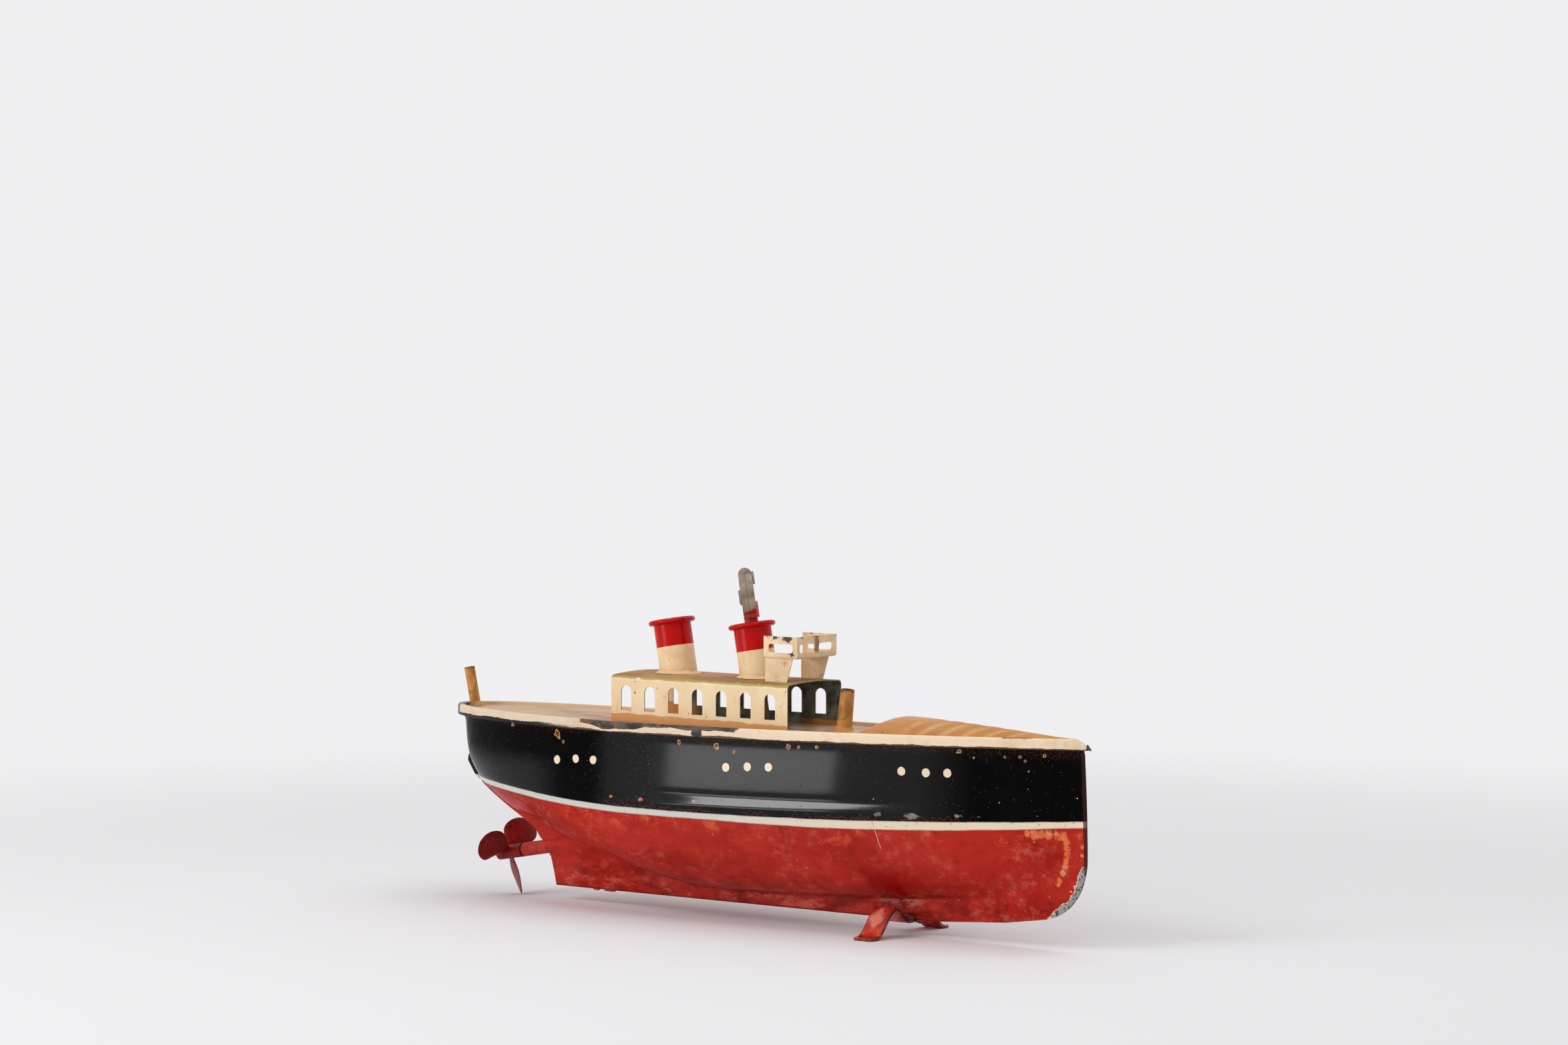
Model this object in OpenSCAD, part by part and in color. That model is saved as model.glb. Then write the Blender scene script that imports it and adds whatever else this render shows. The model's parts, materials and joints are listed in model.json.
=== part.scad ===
// Tinplate clockwork passenger ship. +X is the bow, +Y is port, +Z is up, z = 0 is the floor.
// The origin is the middle of the bounding box at floor level.

/* [Hull] */
// Length over the stern lip and the tip of the beak
hull_l = 265; // [250:1:280]
// Breadth of the hull at its widest, just above the waterline
hull_beam = 49; // [46:0.5:54]
// Height of the deck plate's top above the floor
deck_h = 65.7; // [63:0.1:68]
// Height of the painted waterline amidships
waterline_h = 37; // [34:0.5:40]
// Height of the keel's lower edge
keel_h = 4.9; // [4:0.1:6]
// Depth of the flat keel fin below the round bottom
fin_h = 4.4; // [3.5:0.1:6]
// Thickness of the pressed hull and deck sheet
sheet_t = 0.4; // [0.3:0.05:0.6]
// Thickness of each half of the soldered keel and stem seam
flange_t = 0.5; // [0.4:0.05:0.8]
// Width of the soldered seam along stem and stern
flange_w = 0.8; // [0.5:0.1:1.5]
// Distance of the widest frame from the stern
widest_x = 90; // [80:1:100]

/* [Deck] */
// Height of the rolled lip above the deck plate amidships
lip_rise = 0.6; // [0.4:0.1:1]
// Height of the lip's outer skirt
lip_h = 3.6; // [3:0.1:4.5]
// Width of the rolled lip
lip_w = 1.45; // [1.3:0.05:1.8]
// Extra height of the lip at the bow
sheer_bow = 1.9; // [1:0.1:3]
// Extra height of the lip at the stern
sheer_stern = 0.6; // [0:0.1:1.2]
// Length of the sharp beak in front of the stem
beak_l = 1.6; // [1:0.1:2.5]
// Height of the pressed foredeck hump
hump_h = 6.4; // [5:0.1:7.5]
// Distance of the hump's aft edge from the mast socket
hump_gap = 10.8; // [8:0.1:14]

/* [Cabin] */
// Length of the cabin
cabin_l = 75; // [72:0.5:80]
// Distance of the cabin's rear edge from the stern
cabin_x = 80; // [76:1:84]
// Outer width of the cabin
cabin_w = 30.2; // [28:0.2:33]
// Height of the roof above the deck
cabin_h = 16.1; // [14:0.1:18]
// Thickness of the cabin sheet
cabin_t = 0.4; // [0.3:0.05:0.6]
// Outer radius of the roof's bent edge
roof_r = 1.6; // [1:0.1:3]
// Windows on each side
windows = 7; // [5:1:7]
// Distance between window centres
window_pitch = 10.2; // [9:0.1:10.3]
// Width of a window
window_w = 4.5; // [3.5:0.1:6]
// Height of a window to the top of its arch
window_h = 8.6; // [7:0.1:10]
// Height of the window sill above the deck
sill_h = 3.6; // [3:0.1:4.5]
// Aft shift of the port windows
window_shift = 1.1; // [0:0.1:1.5]

/* [Funnels] */
// Aft rake of the funnels, the winding arbor and the motor
rake = 10; // [8:0.5:11]
// Distance of the fore funnel's foot from the cabin's rear edge
fore_funnel_x = 51.8; // [50:0.2:53]
// Distance between the two funnels
funnel_pitch = 34.4; // [32:0.2:36]
// Outer diameter of a funnel
funnel_d = 12.8; // [12:0.1:14]
// Wall of a funnel
funnel_t = 0.4; // [0.3:0.05:0.6]
// Height of a funnel along its axis
funnel_h = 17.6; // [16:0.1:19]
// Thickness of the rolled rim
rim_d = 1.8; // [1.4:0.1:2]

/* [Bridge] */
// Length of the bridge tray
tray_l = 13.9; // [12:0.1:16]
// Width of the bridge tray
tray_w = 22; // [19:0.2:25]
// Height of the tray with its railings
tray_h = 6.5; // [6:0.1:8]
// Distance of the tray's front from the cabin's front edge
tray_gap = 1; // [-1:0.1:2]
// Height of the bridge legs
leg_h = 7.9; // [6:0.1:9]
// Length of a leg at the roof
leg_foot_l = 8.9; // [8:0.1:10]
// Length of a leg under the tray
leg_top_l = 11.4; // [10:0.1:12]
// Thickness of the bridge sheet
bridge_t = 0.4; // [0.3:0.05:0.6]

/* [Sockets] */
// Distance of the mast socket from the cabin's front edge
mast_x = 12.2; // [10:0.1:15]
// Forward lean of the mast socket
mast_lean = 6.5; // [4:0.5:8]
// Outer diameter of the mast socket at the top
mast_d = 4.6; // [4.2:0.1:5.4]
// Bore of the mast socket
mast_bore = 3.8; // [3:0.1:4]
// Height of the mast socket
mast_h = 13.9; // [12:0.1:16]
// Distance of the flagstaff socket from the stern
staff_x = 6; // [5.5:0.1:8]
// Aft lean of the flagstaff socket
staff_lean = 12.5; // [8:0.5:14]
// Outer diameter of the flagstaff socket
staff_d = 3.7; // [3.4:0.1:4]
// Bore of the flagstaff socket
staff_bore = 2.9; // [2:0.1:3]
// Height of the flagstaff socket
staff_h = 13.9; // [12:0.1:16]

/* [Stand] */
// Distance of the stand strap's front edge from the bow
strap_x = 70.3; // [68:0.1:74]
// Width of the stand strap
strap_w = 7.9; // [7:0.1:10]
// Thickness of the stand strap
strap_t = 0.95; // [0.8:0.05:1.2]
// Half of the stand strap's span
strap_span = 22.3; // [20:0.1:25]
// Height of the strap's arch beside the keel
arch_h = 9.7; // [8:0.1:10.5]

/* [Propeller] */
// Radius of the propeller
prop_r = 15.6; // [14:0.1:17]
// Widest part of a blade
blade_w = 10.6; // [9:0.1:12]
// Thickness of a blade
blade_t = 0.7; // [0.5:0.05:1]
// Turn of the low blade away from straight down, towards port
blade_turn = 12; // [0:1:25]
// Distance of the blades from the stern
prop_x = 21.5; // [21:0.1:23]
// Diameter of the hub and of the stern tube
hub_d = 4.9; // [4.4:0.1:5.4]
// Length of the hub
hub_l = 10.9; // [10:0.1:11.5]
// Diameter of the propeller shaft
shaft_d = 2; // [1.8:0.1:2.2]
// Running clearance between a shaft and its bearing, on the radius
running_fit = 0.04; // [0.02:0.01:0.08]

/* [Clockwork] */
// Tooth module of every wheel
tooth_m = 0.6; // [0.58:0.01:0.62]
// Teeth of every pinion
pinion_n = 9; // [9:1:9]
// Teeth of the great wheel
great_n = 54; // [48:6:54]
// Teeth of the second wheel
second_n = 45; // [42:3:45]
// Teeth of the contrate wheel
contrate_n = 36; // [36:4:36]
// Teeth of the ratchet wheel
ratchet_n = 12; // [12:4:12]
// Diameter of the winding arbor
arbor_d = 3.6; // [3.4:0.1:3.8]
// Diameter of the second and third arbors
pivot_d = 2; // [1.8:0.1:2.4]
// Distance from the shaft to the inner face of each plate
plate_gap = 11; // [10.8:0.1:12]
// Thickness of the motor plates
plate_t = 1; // [0.8:0.1:1.2]
// Thickness of the wheels
wheel_t = 1; // [0.8:0.05:1.1]
// Diameter of a pillar
pillar_d = 3; // [2.6:0.1:3.4]
// Outer diameter of the mainspring
spring_d = 28; // [26:0.5:29]
// Width of the mainspring strip
spring_w = 10.5; // [8:0.1:11]
// Thickness of the mainspring strip
spring_t = 0.45; // [0.3:0.05:0.6]

/* [Key] */
// Width of the key's bow
key_w = 17; // [14:0.5:20]
// Height of the key's bow
key_h = 17; // [15:0.1:18]
// Distance over the two leaves of the bow
key_t = 4.5; // [4.2:0.1:4.8]
// Thickness of each leaf of the bow
leaf_t = 2.2; // [1.2:0.1:2.2]
// Thickness of the tabs folded over the leaves
tab_t = 0.6; // [0.4:0.1:0.8]
// Outer diameter of the key's shank
shank_d = 4.6; // [4.6:0.1:5]
// Turn of the key about the winding arbor at rest
key_turn = 53; // [0:1:90]

/* [Hidden] */
$fn = 48;

black = [0.05, 0.05, 0.06];
cream = [0.93, 0.86, 0.70];
ochre = [0.76, 0.52, 0.24];
red = [0.62, 0.13, 0.10];
steel = [0.55, 0.55, 0.57];
brass = [0.80, 0.66, 0.35];

// Fore and aft ends of the plan
stern_x = -hull_l / 2;
bow_x = hull_l / 2;
stem_x = bow_x - beak_l;
hull_stern_x = stern_x + 0.6;

// Levels of the hull surface, amidships
bottom_z = keel_h + fin_h;
lip_z = deck_h + lip_rise;
tuck = 0.75;
gunwale_z = lip_z - tuck;
wl_sheer_bow = 4.6;
wl_sheer_stern = 3.4;
half_beam = hull_beam / 2;
fore_curve = 2.15;
UNDER = [0, 0.022, 0.11, 0.26, 0.42, 0.6, 0.8, 1];
TOPSIDE = [0.09, 0.17, 0.26, 0.5, 0.8, 0.885, 0.905, 1];
LEVELS = concat([keel_h, keel_h + fin_h / 2],
    [for (u = UNDER) bottom_z + u * (waterline_h - bottom_z)],
    [for (t = TOPSIDE) waterline_h + t * (gunwale_z - waterline_h)]);

// Half-breadth as a share of half the beam, against the share of each depth
UNDER_SHAPE = [[0, 0.03], [0.022, 0.2], [0.11, 0.46], [0.26, 0.66], [0.42, 0.79], [0.6, 0.89],
    [0.8, 0.955], [1, 0.975]];
TOPSIDE_SHAPE = [[0, 0.975], [0.09, 0.995], [0.17, 1], [0.26, 0.98], [0.5, 0.965],
    [0.8, 0.95], [0.92, 0.955], [1, 0.968]];

// Outlines on the centre plane: height above the keel, then distance in from the stem or stern
STEM = [[0, 68], [0.5, 48], [1.8, 34.6], [3.6, 18.8], [6.2, 10.4], [10.6, 4.8], [16.3, 1.5],
    [23.8, 0], [37, 0.2], [59, 1.1]];
STERN = [[0, 42.7], [5.9, 41.3], [13.6, 38.7], [16.2, 35.4], [19.4, 32.9], [22.5, 27.7],
    [26.6, 20.3], [30.2, 14.3], [33.8, 9.1], [35.2, 7.5], [42.7, 3.5], [51.1, 2.2], [56.1, 1.9],
    [58.5, 0.9], [60.7, 0.1]];
// Crease between the round bottom and the keel fin
CREASE_AFT = [[4.4, 120], [5, 102], [7.5, 86], [11.6, 69], [15.4, 52], [19.2, 36.4], [22.5, 28.6],
    [26.6, 21.1]];
CREASE_FORE = [[4.4, 130], [5.5, 110], [6, 85], [7.2, 58], [10.6, 32], [16.1, 14.5], [23.1, 5],
    [31.1, 1.9]];

// Shares of the run from the widest frame to each end
AFT_S = [for (k = [0:13]) sin(90 * k / 13)];
FORE_S = concat([for (k = [0:11]) k / 12], [0.975, 0.992, 1]);

function clamp(v, lo, hi) = min(max(v, lo), hi);
function top_share(z) = clamp((z - waterline_h) / (gunwale_z - waterline_h), 0, 1);
function under_share(z) = clamp((z - bottom_z) / (waterline_h - bottom_z), 0, 1);
function end_rise(z, wl_rise, lip_rise_end) = z < waterline_h
    ? wl_rise * pow(under_share(z), 1.5)
    : wl_rise * (1 - top_share(z)) + lip_rise_end * top_share(z);
function rise_power(z) = 2 - 0.6 * top_share(z);
function stern_end(z) = hull_stern_x
    + lookup(z + end_rise(z, wl_sheer_stern, sheer_stern) - keel_h, STERN);
function stem_end(z) = stem_x
    - lookup(z + end_rise(z, wl_sheer_bow, sheer_bow) - keel_h, STEM);
function crease_aft(z) = max(stern_end(z) + flange_w,
    z + end_rise(z, wl_sheer_stern, 0) > keel_h + 26.6 ? stern_x
    : hull_stern_x + lookup(z - keel_h, CREASE_AFT));
function crease_fore(z) = min(stem_end(z) - flange_w,
    z > keel_h + 31.1 ? bow_x : stem_x - lookup(z - keel_h, CREASE_FORE));
function widest(z) = stern_x + lookup(under_share(z), [[0, widest_x + 36], [0.2, widest_x + 16],
    [0.6, widest_x + 4], [1, widest_x]]);
function breadth(z) = z < bottom_z ? 0 : z < waterline_h
    ? half_beam * lookup(under_share(z), UNDER_SHAPE)
    : half_beam * lookup(top_share(z), TOPSIDE_SHAPE);
function aft_power(z) = z < waterline_h ? lookup(under_share(z), [[0, 1.2], [0.5, 1], [1, 0.75]])
    : lookup(top_share(z), [[0, 0.75], [0.4, 0.55], [1, 0.5]]);
function fore_power(z) = lookup(under_share(z), [[0, 1.2], [1, 1]]);

// One point of the hull's starboard half at level z. Share s runs from the widest frame (0) to an end
function flange(z) = top_share(z) > 0.89 ? flange_t / 5 : flange_t;
function aft_point(z, s, wall) = [
    widest(z) - s * (widest(z) - crease_aft(z - wall) - 1.5 * wall),
    -max(wall > 0 ? 0 : flange(z), (breadth(z - wall) - wall) * pow(max(0, 1 - s * s), aft_power(z))),
    z + end_rise(z, wl_sheer_stern, sheer_stern) * pow(s, rise_power(z))];
function fore_point(z, s, wall) = [
    widest(z) + s * (crease_fore(z - wall) - 3 * wall - widest(z)),
    -max(wall > 0 ? 0 : flange(z),
        (breadth(z - wall) - wall) * pow(max(0, 1 - pow(s, fore_curve)), fore_power(z))),
    z + end_rise(z, wl_sheer_bow, sheer_bow) * pow(s, rise_power(z))];
function seam_y(z, wall) = wall > 0 ? 0 : -flange(z);
function seam_aft(z, k, wall) = [
    stern_end(z) + (crease_aft(z) - stern_end(z)) * k / 2, seam_y(z, wall),
    z + end_rise(z, wl_sheer_stern, sheer_stern)];
function seam_fore(z, k, wall) = [
    stem_end(z) + (crease_fore(z) - stem_end(z)) * k / 2, seam_y(z, wall),
    z + end_rise(z, wl_sheer_bow, sheer_bow)];
function level_row(z, wall) = concat(
    [for (k = [0, 1]) seam_aft(z, k, wall)],
    [for (k = [len(AFT_S) - 1:-1:1]) aft_point(z, AFT_S[k], wall)],
    [for (s = FORE_S) fore_point(z, s, wall)],
    [for (k = [1, 0]) seam_fore(z, k, wall)]);
function reverse(v) = [for (i = [len(v) - 1:-1:0]) v[i]];
function flatten(v) = [for (row = v) for (p = row) p];

// Faces of a stack of rings with n points each. Open ends close as strips between opposite points
function ring_faces(rings, n) = [for (j = [0:rings - 2]) for (i = [0:n - 1])
    let (a = j * n + i, b = j * n + (i + 1) % n) each [[a, b + n, b], [a, a + n, b + n]]];
function strip_cap(first, n, flip) = [for (i = [0:n / 2 - 2])
    let (a = first + i, b = first + i + 1, c = first + n - 2 - i, d = first + n - 1 - i)
    each (flip ? [[a, b, c], [a, c, d]] : [[a, c, b], [a, d, c]])];

// Half-breadth of the hull's outer face at a place x amidships, used to size what stands inside
function breadth_at(x, z) = x < widest(z)
    ? breadth(z) * pow(max(0, 1 - pow((widest(z) - x) / (widest(z) - crease_aft(z)), 2)), aft_power(z))
    : breadth(z) * pow(max(0, 1 - pow((x - widest(z)) / (crease_fore(z) - widest(z)), fore_curve)),
        fore_power(z));

// Plan of the deck lip, drawn in from its outer face by d. Share s as for the hull
lip_gap = 0.12;
lip_breadth = breadth(gunwale_z) + sheet_t + lip_gap;
nose_w = 1;
foot_inset = 1.6;
lip_widest = stern_x + widest_x;
function foot(d) = d > 0.9 ? foot_inset : 0;
function plan_aft(s, d) = [lip_widest - s * (lip_widest - stern_x - d - foot(d)),
    (lip_breadth - d) * sqrt(max(0, 1 - s * s))];
function plan_fore(s, d) = [lip_widest + s * (stem_x + 0.5 - 2.6 * d - foot(d) - lip_widest),
    s == 1 ? 0 : max((lip_breadth - d) * (1 - pow(s, fore_curve)), nose_w - 0.6 * d)];
function plan_half(d) = concat([for (k = [len(AFT_S) - 1:-1:1]) plan_aft(AFT_S[k], d)],
    [for (s = FORE_S) plan_fore(s, d)]);
function lip_top(s, fore) = lip_z + (fore ? sheer_bow : sheer_stern) * pow(s, 1.4);
PLAN_RISE = concat([for (k = [len(AFT_S) - 1:-1:1]) lip_top(AFT_S[k], false)],
    [for (s = FORE_S) lip_top(s, true)]);
function plan_loop(d) = let (h = plan_half(d)) concat([for (p = h) [p[0], -p[1]]],
    [for (i = [len(h) - 2:-1:1]) h[i]]);
RISE_LOOP = concat(PLAN_RISE, [for (i = [len(PLAN_RISE) - 2:-1:1]) PLAN_RISE[i]]);

// Frame of the motor: its X runs up the propeller shaft, its Z up the winding arbor
cabin_aft = stern_x + cabin_x;
cabin_fore = cabin_aft + cabin_l;
roof_z = deck_h + cabin_h;
funnel_x = cabin_aft + fore_funnel_x;
shaft_dir = [cos(rake), sin(rake)];
arbor_dir = [-sin(rake), cos(rake)];

// Blade surface: share u along the radius, v across the chord, side +1 or -1 for the two faces
BLADE_U = 9;
BLADE_V = 6;
hub_r = hub_d / 2;
function blade_radius(u) = hub_r - 0.4 + (prop_r - hub_r + 0.4) * u;
function blade_half(u) = blade_w / 2 * (u > 0.58 ? sqrt(max(0.004, 1 - pow((u - 0.58) / 0.42, 2)))
    : 0.42 + 0.58 * sin(90 * u / 0.58));
function blade_pitch(u) = 60 - 16 * u;
function blade_point(u, v, side) = let (c = v * blade_half(u), p = blade_pitch(u))
    [c * sin(p) + side * blade_t / 2 * cos(p), c * cos(p) - side * blade_t / 2 * sin(p),
    blade_radius(u) - 0.02 * c * c];
function blade_ring(u) = concat([for (i = [0:BLADE_V]) blade_point(u, 2 * i / BLADE_V - 1, 1)],
    [for (i = [BLADE_V:-1:0]) blade_point(u, 2 * i / BLADE_V - 1, -1)]);
BLADE = [for (j = [0:BLADE_U]) blade_ring(j / BLADE_U)];
// The low blade's tip rests on the floor, which sets the height of the propeller
low_turn = 180 - blade_turn;
function turned_z(p) = p[0] * sin(rake) + (p[2] * cos(low_turn) - p[1] * sin(low_turn)) * cos(rake);
prop_z = -min([for (p = flatten(BLADE)) turned_z(p)]);
prop_at = [stern_x + prop_x, prop_z];
foot_to_prop = [funnel_x, roof_z] - prop_at;
prop_reach = foot_to_prop * shaft_dir;
roof_reach = foot_to_prop * arbor_dir;
motor_at = prop_at + prop_reach * shaft_dir;

// Places along the shaft, in the motor frame
pinion_r = tooth_m * pinion_n / 2;
second_at = -tooth_m * (great_n + pinion_n) / 2;
third_at = second_at - tooth_m * (second_n + pinion_n) / 2;
contrate_r = tooth_m * contrate_n / 2;
mesh_at = third_at - contrate_r;
addendum = 0.8 * tooth_m;
dedendum = 1.15 * tooth_m;
shaft_end = mesh_at + 6.4;
bracket_at = mesh_at + 4;
hub_tail = 4.5;
hub_fore = -prop_reach - hub_tail + hub_l;
tube_gap = 0.8;
tube_aft = hub_fore + tube_gap;
tube_l = 42;
bush_l = 4;
hull_entry = 17.8;
sleeve_l = 27;
tube_r = hub_r;
tube_bore = tube_r - 0.5;
shaft_r = shaft_d / 2;
arbor_r = arbor_d / 2;
pivot_r = pivot_d / 2;

pillar_spots = [[17, 11], [17, -11], [third_at + 5, 13.5], [third_at + 5, -13.5]];

// Heights along the winding arbor, in the motor frame
floor_gap = 0.4;
great_z = -plate_gap + 1.4;
ratchet_z = great_z + wheel_t + 0.3;
ratchet_t = 1.1;
spring_z = ratchet_z + ratchet_t + 1.2;
second_z = plate_gap - 2.6;
contrate_disc_z = -pinion_r - 3.6;
key_foot = roof_reach + 5;
arbor_top = roof_reach + 12;
square_l = 6;
barrel_l = key_h - 3.4;
key_rise = roof_reach + funnel_h + 2.4;

module motor_frame() {
    translate([motor_at[0], 0, motor_at[1]]) rotate([0, -rake, 0]) children();
}

module along_shaft(from) {
    motor_frame() translate([from, 0, 0]) rotate([0, 90, 0]) children();
}

// Hull: one pressed half with its seam flange, and the half sleeve pressed round the stern tube
module hull_half() {
    rings = [for (z = LEVELS) concat(level_row(z, 0), reverse(level_row(z, sheet_t)))];
    n = len(rings[0]);
    bore_r = tube_r + 0.02;
    difference() {
        union() {
            polyhedron(flatten(rings), concat(ring_faces(len(rings), n), strip_cap(0, n, true),
                strip_cap((len(rings) - 1) * n, n, false)));
            motor_frame() translate([hull_entry - prop_reach, 0, 0]) intersection() {
                rotate([0, 90, 0]) cylinder(r = bore_r + sheet_t, h = sleeve_l);
                translate([-1, -10, -10]) cube([sleeve_l + 2, 10, 20]);
            }
        }
        along_shaft(tube_aft) cylinder(r = bore_r, h = tube_l + 6);
    }
}

module hull_starboard() {
    color(black) hull_half();
}

module hull_port() {
    color(black) mirror([0, 1, 0]) hull_half();
}

// Deck: plate, rolled lip that grips the hull's edge, beak and pressed foredeck hump
module lip_ring() {
    under_z = deck_h - sheet_t;
    section = [[0, -lip_h], [0, -0.9], [0.3, -0.2], [0.75, 0], [lip_w - 0.2, -0.25]];
    inner = [[lip_w - 0.45, -0.7], [sheet_t, -0.7], [sheet_t, -lip_h]];
    outer_rows = [for (p = section) [for (i = [0:len(RISE_LOOP) - 1])
        let (q = plan_loop(p[0])[i]) [q[0], q[1], RISE_LOOP[i] + p[1]]]];
    foot_rows = [for (d = [lip_w, lip_w - 0.4]) [for (q = plan_loop(d)) [q[0], q[1], under_z]]];
    inner_rows = [for (p = inner) [for (i = [0:len(RISE_LOOP) - 1])
        let (q = plan_loop(p[0])[i]) [q[0], q[1], RISE_LOOP[i] + p[1]]]];
    rows = concat(outer_rows, foot_rows, inner_rows);
    n = len(RISE_LOOP);
    m = len(rows);
    polyhedron(flatten(rows), [for (j = [0:m - 1]) for (i = [0:n - 1])
        let (a = j * n + i, b = j * n + (i + 1) % n, c = ((j + 1) % m) * n + i,
        d = ((j + 1) % m) * n + (i + 1) % n) each [[a, d, b], [a, c, d]]]);
}

HUMP_STEPS = 12;
hump_from = cabin_fore + mast_x + hump_gap;
hump_to = stem_x - 10;
function hump_rise(s) = s < 0.2 ? hump_h * sin(90 * s / 0.2)
    : hump_h - (hump_h - lip_rise - sheer_bow) * pow((s - 0.2) / 0.8, 1.6);
function hump_half_w(x) = let (s = (x - lip_widest) / (stem_x + 0.5 - lip_widest))
    (lip_breadth - lip_w - 0.2) * (1 - pow(s, fore_curve)) - 1.1;
function hump_row(s, wall) = let (x = hump_from + s * (hump_to - hump_from),
    w = hump_half_w(x) - wall, h = max(0, hump_rise(s) - wall))
    [for (v = [-1:0.2:1.001]) [x, v * w, deck_h - sheet_t / 2 + h * pow(max(0, 1 - v * v), 0.7)]];

module hump_solid(wall) {
    rows = [for (k = [0:HUMP_STEPS]) let (s = wall > 0 ? 0.02 + 0.96 * k / HUMP_STEPS : k / HUMP_STEPS)
        hump_row(s, wall)];
    top_n = len(rows[0]);
    floor_drop = wall > 0 ? sheet_t : sheet_t / 4;
    rings = [for (r = rows) concat(reverse(r), [for (p = r) [p[0], p[1], deck_h - sheet_t / 2 - floor_drop]])];
    polyhedron(flatten(rings), concat(ring_faces(len(rings), 2 * top_n), strip_cap(0, 2 * top_n, true),
        strip_cap(HUMP_STEPS * 2 * top_n, 2 * top_n, false)));
}

module beak() {
    z = lip_z + sheer_bow - lip_h;
    translate([0, 0, z]) rotate([90, 0, 0]) translate([0, 0, -0.4]) linear_extrude(0.8)
        polygon([[bow_x, 0.2], [bow_x - 1.9, 2.8], [bow_x - 2.1, 0.1]]);
}

module deck() {
    color(ochre) difference() {
        union() {
            translate([0, 0, deck_h - sheet_t]) linear_extrude(sheet_t) polygon(plan_loop(lip_w - 0.3));
            lip_ring();
            hump_solid(0);
            beak();
        }
        hump_solid(sheet_t);
        motor_frame() cylinder(r = arbor_r + 1, h = roof_reach);
    }
}

// Cabin: one sheet bent into two walls and a roof, open at both ends
camber = 0.6;
function cabin_path(w, h, r) = concat([[-w, 0]],
    [for (a = [180:-22.5:90]) [-w + r + r * cos(a), h - camber - r + r * sin(a)]],
    [for (k = [-3:3]) let (v = k / 4) [v * (w - r), h - camber * v * v]],
    [for (a = [90:-22.5:0]) [w - r + r * cos(a), h - camber - r + r * sin(a)]], [[w, 0]]);

module window_row(shift) {
    first = (cabin_l - (windows - 1) * window_pitch) / 2 - 0.4;
    for (i = [0:windows - 1]) translate([cabin_aft + first + i * window_pitch - shift, 0, deck_h + sill_h]) {
        translate([-window_w / 2, 0, 0]) cube([window_w, cabin_w, window_h - window_w / 2]);
        translate([0, 0, window_h - window_w / 2]) rotate([-90, 0, 0]) cylinder(d = window_w, h = cabin_w);
    }
}

module cabin() {
    w = cabin_w / 2;
    color(cream) difference() {
        translate([cabin_aft, 0, deck_h]) rotate([90, 0, 90]) linear_extrude(cabin_l)
            polygon(concat(cabin_path(w, cabin_h, roof_r),
                reverse(cabin_path(w - cabin_t, cabin_h - cabin_t, roof_r - cabin_t))));
        mirror([0, 1, 0]) window_row(0);
        window_row(window_shift);
        motor_frame() cylinder(r = arbor_r + 1, h = roof_reach + 4);
    }
}

// Funnel: raked tube with a rolled rim, cut level at its foot
module funnel(x) {
    r = funnel_d / 2;
    difference() {
        translate([x, 0, roof_z]) rotate([0, -rake, 0]) difference() {
            union() {
                translate([0, 0, -3]) cylinder(r = r, h = funnel_h + 3);
                translate([0, 0, funnel_h]) rotate_extrude() translate([r + 0.4 * rim_d, 0]) circle(d = rim_d, $fn = 20);
            }
            translate([0, 0, -4]) cylinder(r = r - funnel_t, h = funnel_h + 6);
        }
        translate([x - 2 * r, -2 * r, roof_z - 10]) cube([4 * r, 4 * r, 10 + 0.02]);
    }
}

module funnel_fore() {
    color(red) funnel(funnel_x);
}

module funnel_aft() {
    color(red) funnel(funnel_x - funnel_pitch);
}

// Bridge: a tray with railings bent up on three sides, on two sloping legs
tray_fore = cabin_fore + tray_gap;
tray_aft = tray_fore - tray_l;
tray_z = roof_z - 0.3 + leg_h;
tray_r = 0.9;
leg_y = tray_w / 2 - tray_r - 0.1;

module rounded_tray(inset, up) {
    r = tray_r - inset;
    half = tray_w / 2 - inset;
    intersection() {
        translate([tray_aft - 1 - inset, 0, tray_z + inset]) rotate([90, 0, 90]) linear_extrude(tray_l + 2)
            union() {
                translate([-half, r]) square([2 * half, tray_h + up]);
                translate([-half + r, 0]) square([2 * half - 2 * r, 2 * r]);
                for (s = [-1, 1]) translate([s * (half - r), r]) circle(r, $fn = 32);
            }
        translate([0, tray_w, tray_z + inset]) rotate([90, 0, 0]) linear_extrude(2 * tray_w) union() {
            translate([tray_aft - up, 0]) square([tray_l - r - inset + up, tray_h + up]);
            translate([tray_aft, r]) square([tray_l - inset, tray_h + up]);
            translate([tray_fore - inset - r, r]) circle(r, $fn = 32);
        }
    }
}

module round_slot(l, h, t) {
    r = 0.9;
    rotate([90, 0, 0]) linear_extrude(t, center = true) union() {
        translate([-l / 2 + r, -h / 2]) square([l - 2 * r, h]);
        translate([-l / 2, -h / 2 + r]) square([l, h - 2 * r]);
        for (x = [-1, 1], y = [-1, 1]) translate([x * (l / 2 - r), y * (h / 2 - r)]) circle(r, $fn = 24);
    }
}

module bridge_tray() {
    slot_h = 2.9;
    slot_z = tray_z + tray_h - 3.05;
    color(cream) difference() {
        rounded_tray(0, 0);
        rounded_tray(bridge_t, 2);
        translate([tray_aft + tray_l / 2, 0, slot_z]) round_slot(tray_l - 3.8, slot_h, 2 * tray_w);
        for (s = [-1, 1]) translate([tray_fore, s * (tray_w / 4 - 0.2), slot_z]) rotate([0, 0, 90])
            round_slot(tray_w / 2 - 2.6, slot_h, 4);
    }
}

module bridge_leg(side) {
    translate([tray_aft, side * leg_y + bridge_t / 2, roof_z - 0.3]) rotate([90, 0, 0])
        linear_extrude(bridge_t) polygon([[0, 0], [leg_foot_l, 0], [leg_top_l, leg_h], [0, leg_h]]);
}

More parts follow.
